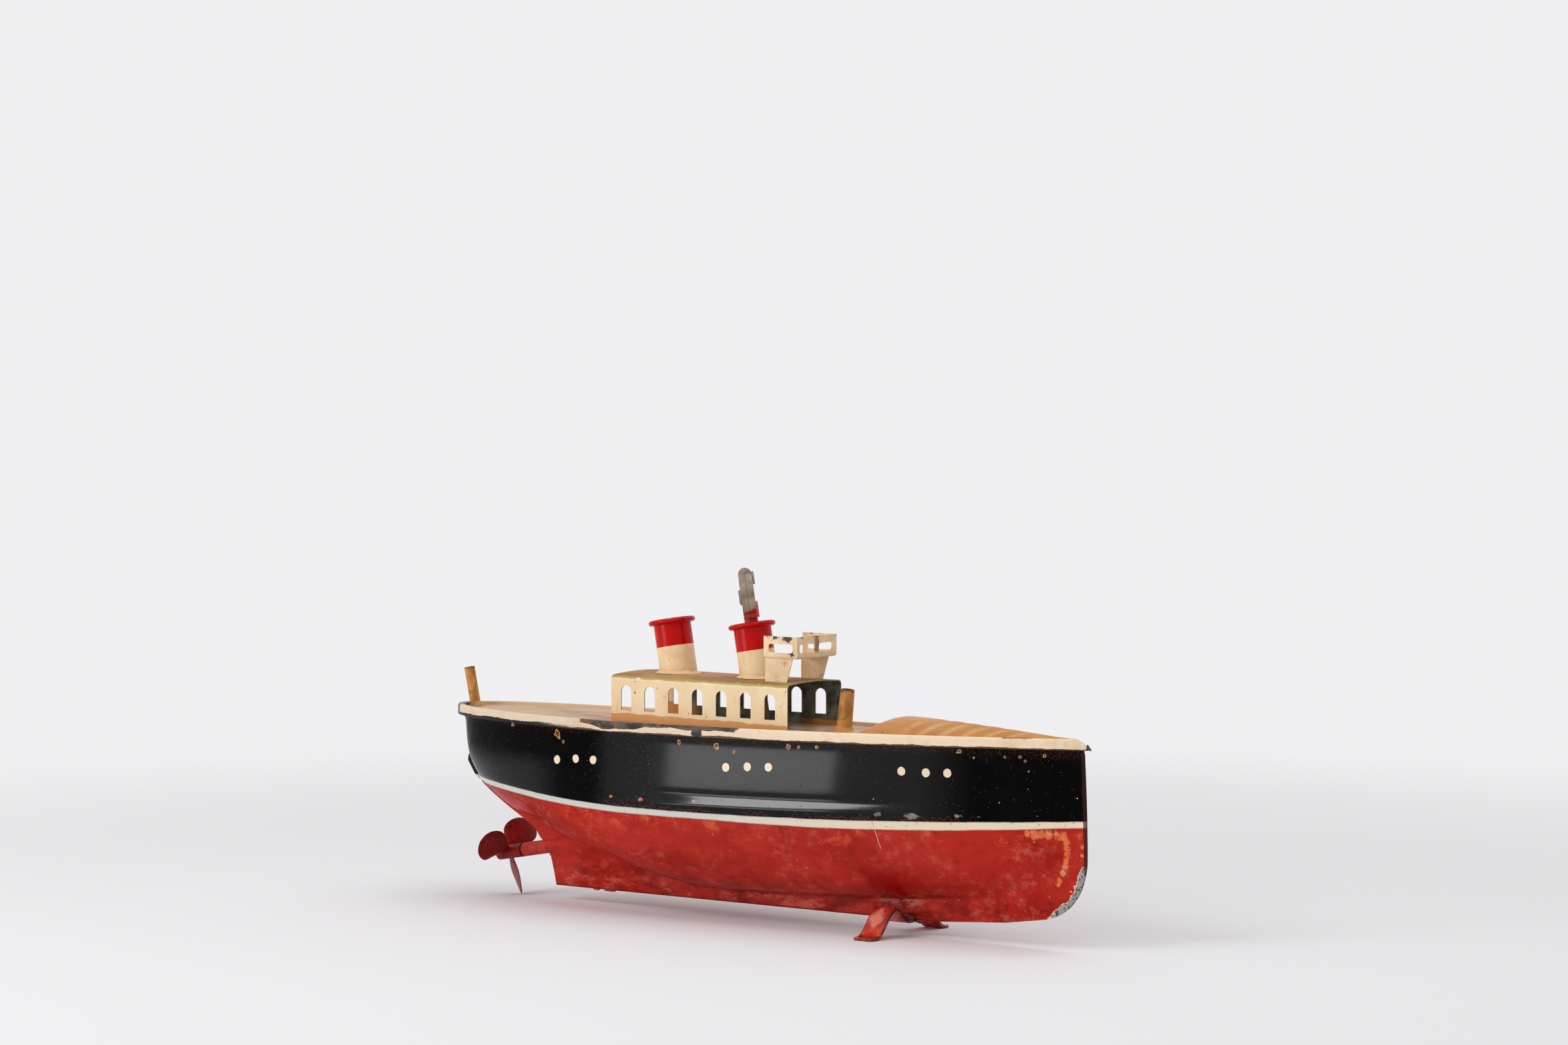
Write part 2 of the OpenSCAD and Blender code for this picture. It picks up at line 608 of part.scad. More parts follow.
module bridge_leg_starboard() {
    color(cream) bridge_leg(-1);
}

module bridge_leg_port() {
    color(cream) bridge_leg(1);
}

// Sockets: leaning tubes with a floor and a flared solder foot, cut level at the deck
module leaning_socket(x, lean, d_top, d_foot, bore, h) {
    flare = 1.6;
    floor_t = 1.5;
    difference() {
        translate([x, 0, deck_h]) rotate([0, lean, 0]) difference() {
            union() {
                translate([0, 0, -2]) cylinder(d1 = d_foot, d2 = d_top, h = h + 2);
                translate([0, 0, -1]) cylinder(d1 = d_foot + 2 * flare, d2 = d_foot - 0.2, h = flare + 1);
            }
            translate([0, 0, floor_t]) cylinder(d = bore, h = h);
        }
        translate([x - 15, -15, deck_h - 10]) cube([30, 30, 10]);
    }
}

module mast_socket() {
    color(ochre) leaning_socket(cabin_fore + mast_x, mast_lean, mast_d, mast_d + 0.8, mast_bore, mast_h);
}

module flagstaff_socket() {
    color(ochre) leaning_socket(stern_x + staff_x, -staff_lean, staff_d, staff_d, staff_bore, staff_h);
}

// Stand: one strap bent under the keel into two feet
function strap_mid(y) = let (s = abs(y) / strap_span, low = keel_h - strap_t / 2, top = arch_h - strap_t / 2)
    s < 0.05 ? low : s < 0.37 ? low + (top - low) * (1 - cos(180 * (s - 0.05) / 0.32)) / 2
    : s < 0.88 ? strap_t / 2 + (top - strap_t / 2) * (1 + cos(180 * (s - 0.37) / 0.51)) / 2 : strap_t / 2;
STRAP_STEPS = 22;
STRAP_Y = [for (k = [-STRAP_STEPS:STRAP_STEPS]) strap_span * k / STRAP_STEPS];
function strap_side(i, side) = let (a = max(0, i - 1), b = min(len(STRAP_Y) - 1, i + 1),
    d = [STRAP_Y[b] - STRAP_Y[a], strap_mid(STRAP_Y[b]) - strap_mid(STRAP_Y[a])], l = norm(d))
    [STRAP_Y[i] - side * d[1] / l * strap_t / 2, max(0, strap_mid(STRAP_Y[i]) + side * d[0] / l * strap_t / 2)];

module stand_strap() {
    front = bow_x - strap_x;
    toe_r = 1.6;
    color(red) intersection() {
        translate([front - strap_w, 0, 0]) rotate([90, 0, 90]) linear_extrude(strap_w)
            polygon(concat([for (i = [0:len(STRAP_Y) - 1]) strap_side(i, -1)],
                [for (i = [len(STRAP_Y) - 1:-1:0]) strap_side(i, 1)]));
        linear_extrude(arch_h + 1) union() {
            translate([front - strap_w, -strap_span + toe_r]) square([strap_w, 2 * (strap_span - toe_r)]);
            translate([front - strap_w + toe_r, -strap_span]) square([strap_w - 2 * toe_r, 2 * strap_span]);
            for (s = [-1, 1], x = [front - strap_w + toe_r, front - toe_r])
                translate([x, s * (strap_span - toe_r)]) circle(toe_r, $fn = 32);
        }
    }
}

// Stern lug: a small tab soldered on the seam below the stern
module stern_lug() {
    z0 = keel_h + 35.2;
    z1 = keel_h + 42.7;
    x0 = hull_stern_x + 7.5;
    x1 = hull_stern_x + 3.5;
    color(black) translate([0, 0.8, 0]) rotate([90, 0, 0]) linear_extrude(1.6)
        polygon([[x0, z0], [x0 - 1.5, z0 + 0.9], [x1 - 1.2, z1 - 1.2], [x1 - 0.9, z1 + 1], [x1, z1]]);
}

// Stern tube with a bush at each end
module stern_tube() {
    color(red) along_shaft(tube_aft) difference() {
        cylinder(r = tube_r, h = tube_l);
        translate([0, 0, -1]) cylinder(r = tube_bore, h = tube_l + 2);
    }
}

module bush() {
    difference() {
        cylinder(r = tube_bore, h = bush_l);
        translate([0, 0, -1]) cylinder(r = shaft_r + running_fit, h = bush_l + 2);
    }
}

module tube_bush_aft() {
    color(brass) along_shaft(tube_aft) bush();
}

module tube_bush_fore() {
    color(brass) along_shaft(tube_aft + tube_l - bush_l) bush();
}

// Propeller: three twisted blades on a hub, on a shaft with its collar and pinion
module blade(turn) {
    n = len(BLADE[0]);
    color(red) difference() {
        motor_frame() translate([-prop_reach, 0, 0]) rotate([-low_turn - turn, 0, 0])
            polyhedron(flatten(BLADE), concat(ring_faces(len(BLADE), n), strip_cap(0, n, true),
                strip_cap(BLADE_U * n, n, false)));
        along_shaft(-prop_reach - 8) cylinder(r = hub_r, h = 16);
    }
}

module blade_low() {
    blade(0);
}

module blade_port() {
    blade(-120);
}

module blade_starboard() {
    blade(120);
}

module propeller_hub() {
    color(red) along_shaft(hub_fore - hub_l) difference() {
        cylinder(r = hub_r, h = hub_l);
        translate([0, 0, 0.8]) cylinder(r = shaft_r, h = hub_l);
    }
}

module propeller_shaft() {
    from = hub_fore - hub_l + 0.8;
    color(steel) along_shaft(from) cylinder(r = shaft_r, h = shaft_end - from);
}

module thrust_collar() {
    color(brass) along_shaft(tube_aft + tube_l + 0.3) difference() {
        cylinder(r = tube_r - 0.2, h = 3);
        translate([0, 0, -1]) cylinder(r = shaft_r, h = 5);
    }
}

// Wheels: straight-flanked teeth with play, one tooth centred on +X
function tooth_points(n, m) = [for (i = [0:n - 1]) let (c = i * 360 / n, p = 360 / n)
    each [for (q = [[-0.27, -dedendum], [-0.2, 0], [-0.09, addendum], [0.09, addendum], [0.2, 0],
        [0.27, -dedendum]]) (m * n / 2 + q[1]) * [cos(c + q[0] * p), sin(c + q[0] * p)]]];

module toothed(n, t, bore_r) {
    linear_extrude(t) difference() {
        polygon(tooth_points(n, tooth_m));
        circle(r = bore_r);
    }
}

module spokes(r_in, r_out, t) {
    for (a = [0:90:270]) rotate([0, 0, a + 45]) translate([(r_in + r_out) / 2, 0, -1])
        cylinder(r = (r_out - r_in) / 2 - 0.8, h = t + 2, $fn = 32);
}

module shaft_pinion() {
    pinion_l = 3;
    color(brass) motor_frame() translate([mesh_at - pinion_l / 2, 0, 0]) rotate([0, 90, 0])
        toothed(pinion_n, pinion_l, shaft_r);
}

module contrate_wheel() {
    rim_t = 1.2;
    top_z = -pinion_r + addendum;
    root_z = -pinion_r - dedendum;
    pitch_w = PI * tooth_m;
    color(brass) motor_frame() translate([third_at, 0, 0]) union() {
        translate([0, 0, contrate_disc_z]) difference() {
            cylinder(r = contrate_r + rim_t / 2, h = 1);
            translate([0, 0, -1]) cylinder(r = pivot_r, h = 3);
            spokes(pivot_r + 1.2, contrate_r - rim_t / 2, 1);
        }
        translate([0, 0, contrate_disc_z]) difference() {
            cylinder(r = contrate_r + rim_t / 2, h = root_z - contrate_disc_z);
            translate([0, 0, -1]) cylinder(r = contrate_r - rim_t / 2, h = 10);
        }
        for (i = [0:contrate_n - 1]) rotate([0, 0, (i + 0.5) * 360 / contrate_n])
            translate([contrate_r - rim_t / 2 + 0.1, 0, 0]) rotate([90, 0, 90]) linear_extrude(rim_t - 0.2)
                polygon([[-0.24 * pitch_w, root_z - 0.3], [0.24 * pitch_w, root_z - 0.3],
                    [0.09 * pitch_w, top_z], [-0.09 * pitch_w, top_z]]);
    }
}

module arbor(r, from, to) {
    translate([0, 0, from]) cylinder(r = r, h = to - from);
}

module third_arbor() {
    z = second_z - 0.3;
    color(steel) motor_frame() translate([third_at, 0, 0]) union() {
        arbor(pivot_r, -plate_gap - plate_t, plate_gap + plate_t);
        translate([0, 0, z]) toothed(pinion_n, wheel_t + 0.6, 0.5);
        arbor(pinion_r - dedendum + 0.05, z, z + wheel_t + 0.6);
    }
}

module second_wheel() {
    color(brass) motor_frame() translate([second_at, 0, second_z]) difference() {
        rotate([0, 0, 180 + 180 / second_n]) toothed(second_n, wheel_t, pivot_r);
        spokes(pivot_r + 1.5, tooth_m * second_n / 2 - 2, wheel_t);
    }
}

module second_arbor() {
    z = great_z - 0.3;
    color(steel) motor_frame() translate([second_at, 0, 0]) union() {
        arbor(pivot_r, -plate_gap - plate_t, plate_gap + plate_t);
        translate([0, 0, z]) toothed(pinion_n, wheel_t + 0.6, 0.5);
        arbor(pinion_r - dedendum + 0.05, z, z + wheel_t + 0.6);
    }
}

module great_wheel() {
    color(brass) motor_frame() translate([0, 0, great_z]) difference() {
        rotate([0, 0, 180 + 180 / great_n]) toothed(great_n, wheel_t, arbor_r + running_fit);
        translate([click_at[0], click_at[1], -1]) cylinder(r = click_pin_r, h = wheel_t + 2);
    }
}

// Winding arbor with the ratchet wheel. The click rides on the great wheel
ratchet_r = 5.6;
ratchet_root = 4.4;
click_pin_r = 0.7;
click_at = [-3.2, 9.6];
click_turn = 60;
click_nose = (ratchet_r + 0.4) * [cos(click_turn), sin(click_turn)];

module arbor_square() {
    side = arbor_d * 0.7;
    motor_frame() translate([-side / 2, -side / 2, arbor_top - square_l - 0.1]) cube([side, side, square_l + 0.1]);
}

module winding_arbor() {
    color(steel) union() {
        motor_frame() arbor(arbor_r, -plate_gap - plate_t - 0.4, arbor_top - square_l);
        arbor_square();
    }
}

module ratchet_wheel() {
    p = 360 / ratchet_n;
    color(steel) motor_frame() translate([0, 0, ratchet_z]) linear_extrude(ratchet_t) difference() {
        rotate(click_turn - 3) polygon([for (i = [0:ratchet_n - 1]) each [ratchet_r * [cos(i * p - 2), sin(i * p - 2)],
            ratchet_root * [cos(i * p), sin(i * p)]]]);
        circle(r = arbor_r);
    }
}

// The click's nose stands clear of the teeth at rest and drops between them when it is let go
module click() {
    click_t = ratchet_t - 0.1;
    color(steel) motor_frame() translate([0, 0, ratchet_z]) difference() {
        union() {
            translate(click_at) cylinder(r = 1.9, h = click_t);
            linear_extrude(click_t) polygon([click_at + [-0.9, -1.3], click_at + [-0.4, 1.4], click_at + [1.1, 1.3],
                click_nose + [1.1, 0.6], click_nose]);
        }
        translate([click_at[0], click_at[1], -1]) cylinder(r = click_pin_r + running_fit, h = click_t + 2);
    }
}

module click_screw() {
    color(steel) motor_frame() translate([click_at[0], click_at[1], great_z]) union() {
        cylinder(r = click_pin_r, h = ratchet_z + ratchet_t - great_z + 0.1);
        translate([0, 0, ratchet_z + ratchet_t + 0.1 - great_z]) cylinder(r = 1.4, h = 0.7);
    }
}

module click_spring() {
    color(steel) motor_frame() translate([0, 0, great_z + wheel_t]) linear_extrude(ratchet_t)
        polygon([[-8.4, 10.6], [-7.4, 9.2], [-7, 9.4], [-7.2, 10.9], [-3.2, 12.3], [1.8, 9.2], [2.2, 9.6],
            [-3.1, 12.8], [-8, 11.2]]);
}

// Mainspring: a spiral strip between the arbor and a pillar
SPRING_TURNS = 6;
SPRING_SIDES = 20;
function spiral_r(k) = let (inner = arbor_r + 0.15) inner + (spring_d / 2 - spring_t - inner)
    * k / (SPRING_TURNS * SPRING_SIDES);
hook_r = pillar_d / 2 + 0.05;
spring_end = atan2(pillar_spots[0][1], pillar_spots[0][0])
    - acos((spring_d / 2 - spring_t - hook_r) / norm(pillar_spots[0]));
function spiral(extra) = [for (k = [0:SPRING_TURNS * SPRING_SIDES])
    let (a = spring_end + k * 360 / SPRING_SIDES) (spiral_r(k) + extra) * [cos(a), sin(a)]];

module mainspring() {
    out = [cos(spring_end), sin(spring_end)];
    post = pillar_spots[0];
    color(steel) motor_frame() translate([0, 0, spring_z]) difference() {
        union() {
            linear_extrude(spring_w) polygon(concat(spiral(0), [post + hook_r * out, post + (hook_r + spring_t) * out],
                reverse(spiral(spring_t))));
            translate(post) cylinder(r = hook_r + spring_t, h = spring_w);
        }
        translate([post[0], post[1], -1]) cylinder(r = hook_r, h = spring_w + 2);
    }
}

// Motor frame: two plates on four pillars, on two bearers that span the hull
plate_margin = 3;

module motor_plate(z) {
    color(steel) motor_frame() translate([0, 0, z]) linear_extrude(plate_t) difference() {
        hull() {
            for (p = pillar_spots) translate(p) circle(r = plate_margin, $fn = 32);
            translate([third_at - 6, 0]) circle(r = 4, $fn = 32);
        }
        circle(r = arbor_r + running_fit);
        for (x = [second_at, third_at]) translate([x, 0]) circle(r = pivot_r + running_fit);
        for (p = pillar_spots) translate(p) circle(r = pillar_d / 4);
    }
}

module motor_plate_upper() {
    motor_plate(plate_gap);
}

module motor_plate_lower() {
    motor_plate(-plate_gap - plate_t);
}

module motor_pillars() {
    color(steel) motor_frame() for (p = pillar_spots) translate(p) {
        translate([0, 0, -plate_gap]) cylinder(d = pillar_d, h = 2 * plate_gap);
        translate([0, 0, -plate_gap - plate_t - 1.2]) cylinder(d = pillar_d / 2, h = 2 * (plate_gap + plate_t + 1.2));
    }
}

module pillar_nuts() {
    nut_h = 0.4 * pillar_d;
    color(brass) motor_frame() for (p = pillar_spots, s = [0, 1]) translate(p) mirror([0, 0, s])
        translate([0, 0, plate_gap + plate_t]) difference() {
            cylinder(d = 1.33 * pillar_d, h = nut_h, $fn = 6);
            translate([0, 0, -1]) cylinder(d = pillar_d / 2, h = nut_h + 2);
        }
}

module motor_bearers() {
    low = -plate_gap - plate_t;
    bearer_t = 0.8 * plate_t;
    bearer_w = 2 * pivot_d;
    bearer_gap = 3.1 * pivot_d;
    color(steel) for (x = [second_at - bearer_gap, arbor_r + bearer_gap]) {
        here = motor_at + x * shaft_dir + (low - bearer_t / 2) * arbor_dir;
        half = breadth_at(here[0], here[1] - 1) - sheet_t - 0.9;
        motor_frame() translate([x - bearer_w / 2, -half, low - bearer_t]) cube([bearer_w, 2 * half, bearer_t]);
    }
}

module shaft_bracket() {
    drop = shaft_r + 1.6;
    color(steel) motor_frame() difference() {
        union() {
            translate([bracket_at - 0.5, -3, -drop]) cube([1, 6, plate_gap + drop]);
            translate([bracket_at - 0.5, -3, plate_gap - 0.8]) cube([4, 6, 0.8]);
        }
        translate([bracket_at - 3, 0, 0]) rotate([0, 90, 0]) cylinder(r = shaft_r + running_fit, h = 6);
    }
}

// Key: a folded shank over the arbor's square end, and a bow folded from one sheet
module key_frame() {
    motor_frame() rotate([0, 0, -key_turn]) children();
}

module key_shank() {
    color(steel) difference() {
        key_frame() translate([0, 0, key_foot]) cylinder(d = shank_d, h = key_rise - key_foot + barrel_l);
        motor_frame() translate([0, 0, key_foot - 1]) cylinder(r = arbor_r, h = arbor_top - square_l - key_foot + 1);
        arbor_square();
    }
}

module leaf_outline() {
    w = key_w / 2;
    difference() {
        union() {
            for (s = [-1, 1]) {
                translate([s * (w - 4.2), key_h * 0.62]) circle(r = 4.2);
                translate([s * (w - 5), key_h * 0.3]) circle(r = 3.6);
            }
            translate([-w + 5, 0]) square([key_w - 10, key_h - key_t / 2]);
        }
        translate([-key_w, key_h - key_t / 2]) square([2 * key_w, key_h]);
    }
}

module folded_tab(side, from, to) {
    outside = side * (key_t / 2 + tab_t / 2);
    translate([-key_w / 2 + 2, outside - tab_t / 2 - 0.1, from * key_h]) cube([key_w - 4, tab_t + 0.2, (to - from) * key_h]);
}

module key_bow() {
    fold_r = key_t / 2;
    color(steel) key_frame() translate([0, 0, key_rise]) difference() {
        union() {
            for (s = [-1, 1]) translate([0, s * (fold_r - leaf_t / 2) + leaf_t / 2, 0]) rotate([90, 0, 0])
                linear_extrude(leaf_t) leaf_outline();
            translate([-key_w / 2 + 5, 0, key_h - fold_r]) rotate([0, 90, 0]) difference() {
                cylinder(r = fold_r, h = key_w - 10);
                translate([0, 0, -1]) cylinder(r = fold_r - leaf_t, h = key_w);
                translate([0, -fold_r - 1, -1]) cube([fold_r + 1, 2 * fold_r + 2, key_w]);
            }
            folded_tab(1, 0.02, 0.31);
            folded_tab(-1, 0.3, 0.56);
            folded_tab(1, 0.68, 0.9);
        }
        translate([0, 0, -1]) cylinder(d = shank_d, h = barrel_l + 1);
    }
}

hull_starboard();
hull_port();
deck();
cabin();
funnel_fore();
funnel_aft();
bridge_tray();
bridge_leg_starboard();
bridge_leg_port();
mast_socket();
flagstaff_socket();
stand_strap();
stern_lug();
stern_tube();
tube_bush_aft();
tube_bush_fore();
blade_low();
blade_port();
blade_starboard();
propeller_hub();
propeller_shaft();
thrust_collar();
shaft_pinion();
contrate_wheel();
third_arbor();
second_wheel();
second_arbor();
great_wheel();
winding_arbor();
ratchet_wheel();
click();
click_screw();
click_spring();
mainspring();
motor_plate_upper();
motor_plate_lower();
motor_pillars();
pillar_nuts();
motor_bearers();
shaft_bracket();
key_shank();
key_bow();
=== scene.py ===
import bpy
import bmesh
import json
import math
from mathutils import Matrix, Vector


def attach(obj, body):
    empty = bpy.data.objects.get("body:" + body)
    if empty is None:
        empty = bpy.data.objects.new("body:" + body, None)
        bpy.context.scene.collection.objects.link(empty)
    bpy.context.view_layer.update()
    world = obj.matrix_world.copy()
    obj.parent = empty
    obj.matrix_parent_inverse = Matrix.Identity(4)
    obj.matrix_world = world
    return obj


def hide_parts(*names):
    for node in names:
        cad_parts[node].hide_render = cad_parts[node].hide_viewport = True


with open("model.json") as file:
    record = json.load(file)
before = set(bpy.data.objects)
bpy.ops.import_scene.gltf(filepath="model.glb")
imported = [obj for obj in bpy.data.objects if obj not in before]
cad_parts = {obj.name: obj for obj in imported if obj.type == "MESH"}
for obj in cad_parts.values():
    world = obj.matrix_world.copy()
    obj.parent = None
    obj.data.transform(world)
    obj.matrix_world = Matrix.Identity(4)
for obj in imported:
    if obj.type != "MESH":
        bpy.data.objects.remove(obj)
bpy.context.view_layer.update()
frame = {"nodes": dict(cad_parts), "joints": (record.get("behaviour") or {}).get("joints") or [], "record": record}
mm = 0.001
sharpEdge = math.radians(38)
print("frame loaded")

# Camera, as measured in the photograph
view = {"azimuth": 37.093, "downTilt": 2.598, "lens": 103.886, "place": (0.92050, -1.20451, 0.20262)}


def addObject(name, data):
    item = bpy.data.objects.new(name, data)
    bpy.context.scene.collection.objects.link(item)
    return item


def addCamera():
    data = bpy.data.cameras.new("photoCamera")
    data.lens = view["lens"]
    data.sensor_width = 36
    data.sensor_fit = "HORIZONTAL"
    data.clip_end = 30
    camera = addObject("photoCamera", data)
    camera.location = view["place"]
    camera.rotation_euler = (math.radians(90 - view["downTilt"]), 0, math.radians(view["azimuth"]))
    bpy.context.scene.camera = camera


def rgb(red, green, blue):
    # 8-bit screen colour to linear
    def linear(part):
        part = part / 255
        return part / 12.92 if part <= 0.04045 else ((part + 0.055) / 1.055) ** 2.4
    return (linear(red), linear(green), linear(blue), 1.0)


def plug(tree, node, sockets):
    # Each input takes a link, or else a fixed value
    for key, value in sockets.items():
        source = value.socket if isinstance(value, Value) else value
        if isinstance(source, bpy.types.NodeSocket):
            tree.links.new(source, node.inputs[key])
        else:
            node.inputs[key].default_value = source


def addNode(tree, kind, settings, sockets):
    node = tree.nodes.new("ShaderNode" + kind)
    for name, setting in settings.items():
        setattr(node, name, setting)
    plug(tree, node, sockets)
    return node


def mathNode(operation, swapped=False):
    def apply(self, *others):
        parts = (self,) + others
        parts = parts[::-1] if swapped else parts
        return self.finish.add("Math", {"operation": operation}, dict(enumerate(parts)))
    return apply


class Value:
    # One output socket of a finish, so that masks are written as plain maths
    def __init__(self, finish, socket):
        self.finish = finish
        self.socket = socket

    __add__ = __radd__ = mathNode("ADD")
    __mul__ = __rmul__ = mathNode("MULTIPLY")
    __sub__ = mathNode("SUBTRACT")
    __rsub__ = mathNode("SUBTRACT", swapped=True)
    __truediv__ = mathNode("DIVIDE")
    __pow__ = mathNode("POWER")
    __abs__ = mathNode("ABSOLUTE")
    least = mathNode("MINIMUM")
    most = mathNode("MAXIMUM")
    root = mathNode("SQRT")
    sine = mathNode("SINE")

    def fade(self, start, end):
        return self.finish.add("MapRange", {"interpolation_type": "SMOOTHSTEP"},
                               {"Value": self, "From Min": start, "From Max": end})

    def lay(self, mask, over):
        return self.finish.mix(mask, self, over)


def leastOf(values):
    found = values[0]
    for value in values[1:]:
        found = found.least(value)
    return found


class Finish:
    # One procedural material. Places are in the ship's own millimetres, and the look names its 8-bit colours
    def __init__(self, name, look, **fixed):
        self.look = {part: rgb(*tone) for part, tone in look.items()}
        self.material = bpy.data.materials.new(name)
        self.material.use_nodes = True
        self.tree = self.material.node_tree
        self.tree.nodes.clear()
        amounts = {part.replace("_", " "): amount for part, amount in fixed.items()}
        self.shader = addNode(self.tree, "BsdfPrincipled", {}, amounts)
        self.output = addNode(self.tree, "OutputMaterial", {}, {0: self.shader.outputs[0]})
        self.place = self.vector("SCALE", {0: self.add("TexCoord", {}, {}, "Object"), "Scale": 1 / mm})
        self.x, self.y, self.z = [self.add("SeparateXYZ", {}, {0: self.place}, axis) for axis in "XYZ"]

    def add(self, kind, settings, sockets, output=0):
        return Value(self, addNode(self.tree, kind, settings, sockets).outputs[output])

    def vector(self, operation, sockets, output=0):
        return self.add("VectorMath", {"operation": operation}, sockets, output)

    def mix(self, mask, under, over):
        under, over = [self.look[tone] if isinstance(tone, str) else tone for tone in (under, over)]
        return self.add("Mix", {"data_type": "RGBA"}, {0: mask, 6: under, 7: over}, 2)

    def scaled(self, size, seed, stretch=(1, 1, 1)):
        share = [1 / (size * part) for part in stretch]
        return self.vector("MULTIPLY_ADD", {0: self.place, 1: share, 2: (seed * 7.3, seed * 3.1, seed * 5.7)})

    def cloud(self, size, seed, detail=3.0, rough=0.55, stretch=(1, 1, 1), warp=0.0):
        return self.add("TexNoise", {}, {"Vector": self.scaled(size, seed, stretch), "Scale": 1.0,
                                         "Detail": detail, "Roughness": rough, "Distortion": warp})

    def sway(self, reach, *noise):
        # Cloud about zero, as far as half the reach to either side
        return (self.cloud(*noise) - 0.5) * reach

    def patches(self, size, share, seed, soft=0.03, detail=4.0, stretch=(1, 1, 1)):
        # Mask that covers roughly this share of the surface
        edge = 0.5 + 0.204 * (1 - 2 * share)
        return self.cloud(size, seed, detail, 0.6, stretch, 0.3).fade(edge - soft, edge + soft)

    def dots(self, size, radius, seed):
        reach = self.add("TexVoronoi", {}, {"Vector": self.scaled(size, seed), "Scale": 1.0})
        return reach.fade(radius * 1.15, radius * 0.85)

    def near(self, spot, place=None):
        return self.vector("DISTANCE", {0: place or self.place, 1: spot}, "Value")

    def starboard(self):
        # Mask of the photographed side
        return self.y.fade(0, -1)

    def paint(self, colour, rough, height, depth, metal=0.0, coat=0.0):
        bump = self.add("Bump", {}, {"Height": height, "Strength": 1.0, "Distance": depth * mm}, "Normal")
        plug(self.tree, self.shader, {"Base Color": colour, "Roughness": rough, "Metallic": metal,
                                      "Coat Weight": coat, "Normal": bump})
        return self.material


def smoothTable(*points):
    # Monotone cubic through the points of a table
    xs, ys = zip(*points)
    steps = [(ys[i + 1] - ys[i]) / (xs[i + 1] - xs[i]) for i in range(len(xs) - 1)]
    slopes = [steps[0]]
    for before, after in zip(steps, steps[1:]):
        slopes.append(0.0 if before * after <= 0 else 2 * before * after / (before + after))
    slopes.append(steps[-1])

    def at(value):
        if value <= xs[0]:
            return ys[0]
        if value >= xs[-1]:
            return ys[-1]
        i = next(k for k in range(len(xs) - 1) if value <= xs[k + 1])
        gap = xs[i + 1] - xs[i]
        t = (value - xs[i]) / gap
        return (ys[i] * (1 + 2 * t) * (1 - t) ** 2 + gap * slopes[i] * t * (1 - t) ** 2
                + ys[i + 1] * t * t * (3 - 2 * t) + gap * slopes[i + 1] * t * t * (t - 1))
    return at


def clamp(value, low, high):
    return min(max(value, low), high)


def closedLoft(rings, asLoop=False):
    # Rings of equal length, joined in turn. The last joins the first, or fans of quads close both ends
    rings = rings + rings[:1] if asLoop else rings
    count = len(rings[0])
    points = [point for ring in rings for point in ring]
    faces = []
    for row in range(len(rings) - 1):
        for i in range(count):
            a, b = row * count + i, row * count + (i + 1) % count
            faces.append((a, b, b + count, a + count))
    if not asLoop:
        for first in (0, (len(rings) - 1) * count):
            for i in range(count // 2 - 1):
                faces.append((first + i, first + i + 1, first + count - 2 - i, first + count - 1 - i))
    return points, faces


def makeMesh(name, points, faces):
    data = bpy.data.meshes.new(name)
    data.from_pydata([Vector(point) * mm for point in points], [], faces)
    shape = bmesh.new()
    shape.from_mesh(data)
    bmesh.ops.remove_doubles(shape, verts=shape.verts, dist=0.002 * mm)
    bmesh.ops.recalc_face_normals(shape, faces=shape.faces)
    shape.to_mesh(data)
    shape.free()
    return data


def makePiece(name, loft, material, replaced=(), body="ship"):
    data = makeMesh(name, *loft)
    data.shade_smooth()
    data.set_sharp_from_angle(angle=sharpEdge)
    data.materials.append(material)
    piece = addObject(name, data)
    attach(piece, body)
    if replaced:
        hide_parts(*replaced)
    return piece


# The ship's main measures in millimetres, as in the part's source
ship = {"length": 265, "beam": 49, "deck": 65.7, "waterline": 37, "keel": 4.9, "fin": 4.4, "sheet": 0.4,
        "flange": 0.5, "seam": 0.8, "widest": 90, "beak": 1.6, "lipRise": 0.6, "tuck": 0.75, "cabin": 16.1,
        "lineRiseBow": 4.6, "lineRiseStern": 3.4, "sheerBow": 1.9, "sheerStern": 0.6, "foreCurve": 2.15}
sternX = -ship["length"] / 2
bowX = ship["length"] / 2
stemX = bowX - ship["beak"]
hullSternX = sternX + 0.6
bottomZ = ship["keel"] + ship["fin"]
lipZ = ship["deck"] + ship["lipRise"]
gunwaleZ = lipZ - ship["tuck"]
roofZ = ship["deck"] + ship["cabin"]

# The hull's curves, each against height or against a share of it
underShape = smoothTable((0, 0.03), (0.022, 0.2), (0.11, 0.46), (0.26, 0.66), (0.42, 0.79), (0.6, 0.89),
                         (0.8, 0.955), (1, 0.975))
topShape = smoothTable((0, 0.98), (0.06, 0.996), (0.09, 1), (0.112, 0.9965), (0.162, 0.9835), (0.212, 0.9705),
                       (0.228, 0.968), (0.272, 0.9675), (0.32, 0.9655), (0.5, 0.955), (0.85, 0.934),
                       (0.93, 0.94), (1, 0.968))
stemLine = smoothTable((0, 68), (0.5, 48), (1.8, 34.6), (3.6, 18.8), (6.2, 10.4), (10.6, 4.8), (16.3, 1.5),
                       (23.8, 0), (37, 0.2), (59, 1.1))
sternLine = smoothTable((0, 42.7), (5.9, 41.3), (13.6, 38.7), (16.2, 35.4), (19.4, 32.9), (22.5, 27.7),
                        (26.6, 20.3), (30.2, 14.3), (33.8, 9.1), (35.2, 7.5), (42.7, 3.5), (51.1, 2.2),
                        (56.1, 1.9), (58.5, 0.9), (60.7, 0.1))
creaseAftLine = smoothTable((4.4, 120), (5, 102), (7.5, 86), (11.6, 69), (15.4, 52), (19.2, 36.4),
                            (22.5, 28.6), (26.6, 21.1))
creaseForeLine = smoothTable((4.4, 130), (5.5, 110), (6, 85), (7.2, 58), (10.6, 32), (16.1, 14.5), (23.1, 5),
                             (31.1, 1.9), (38, 1.0))
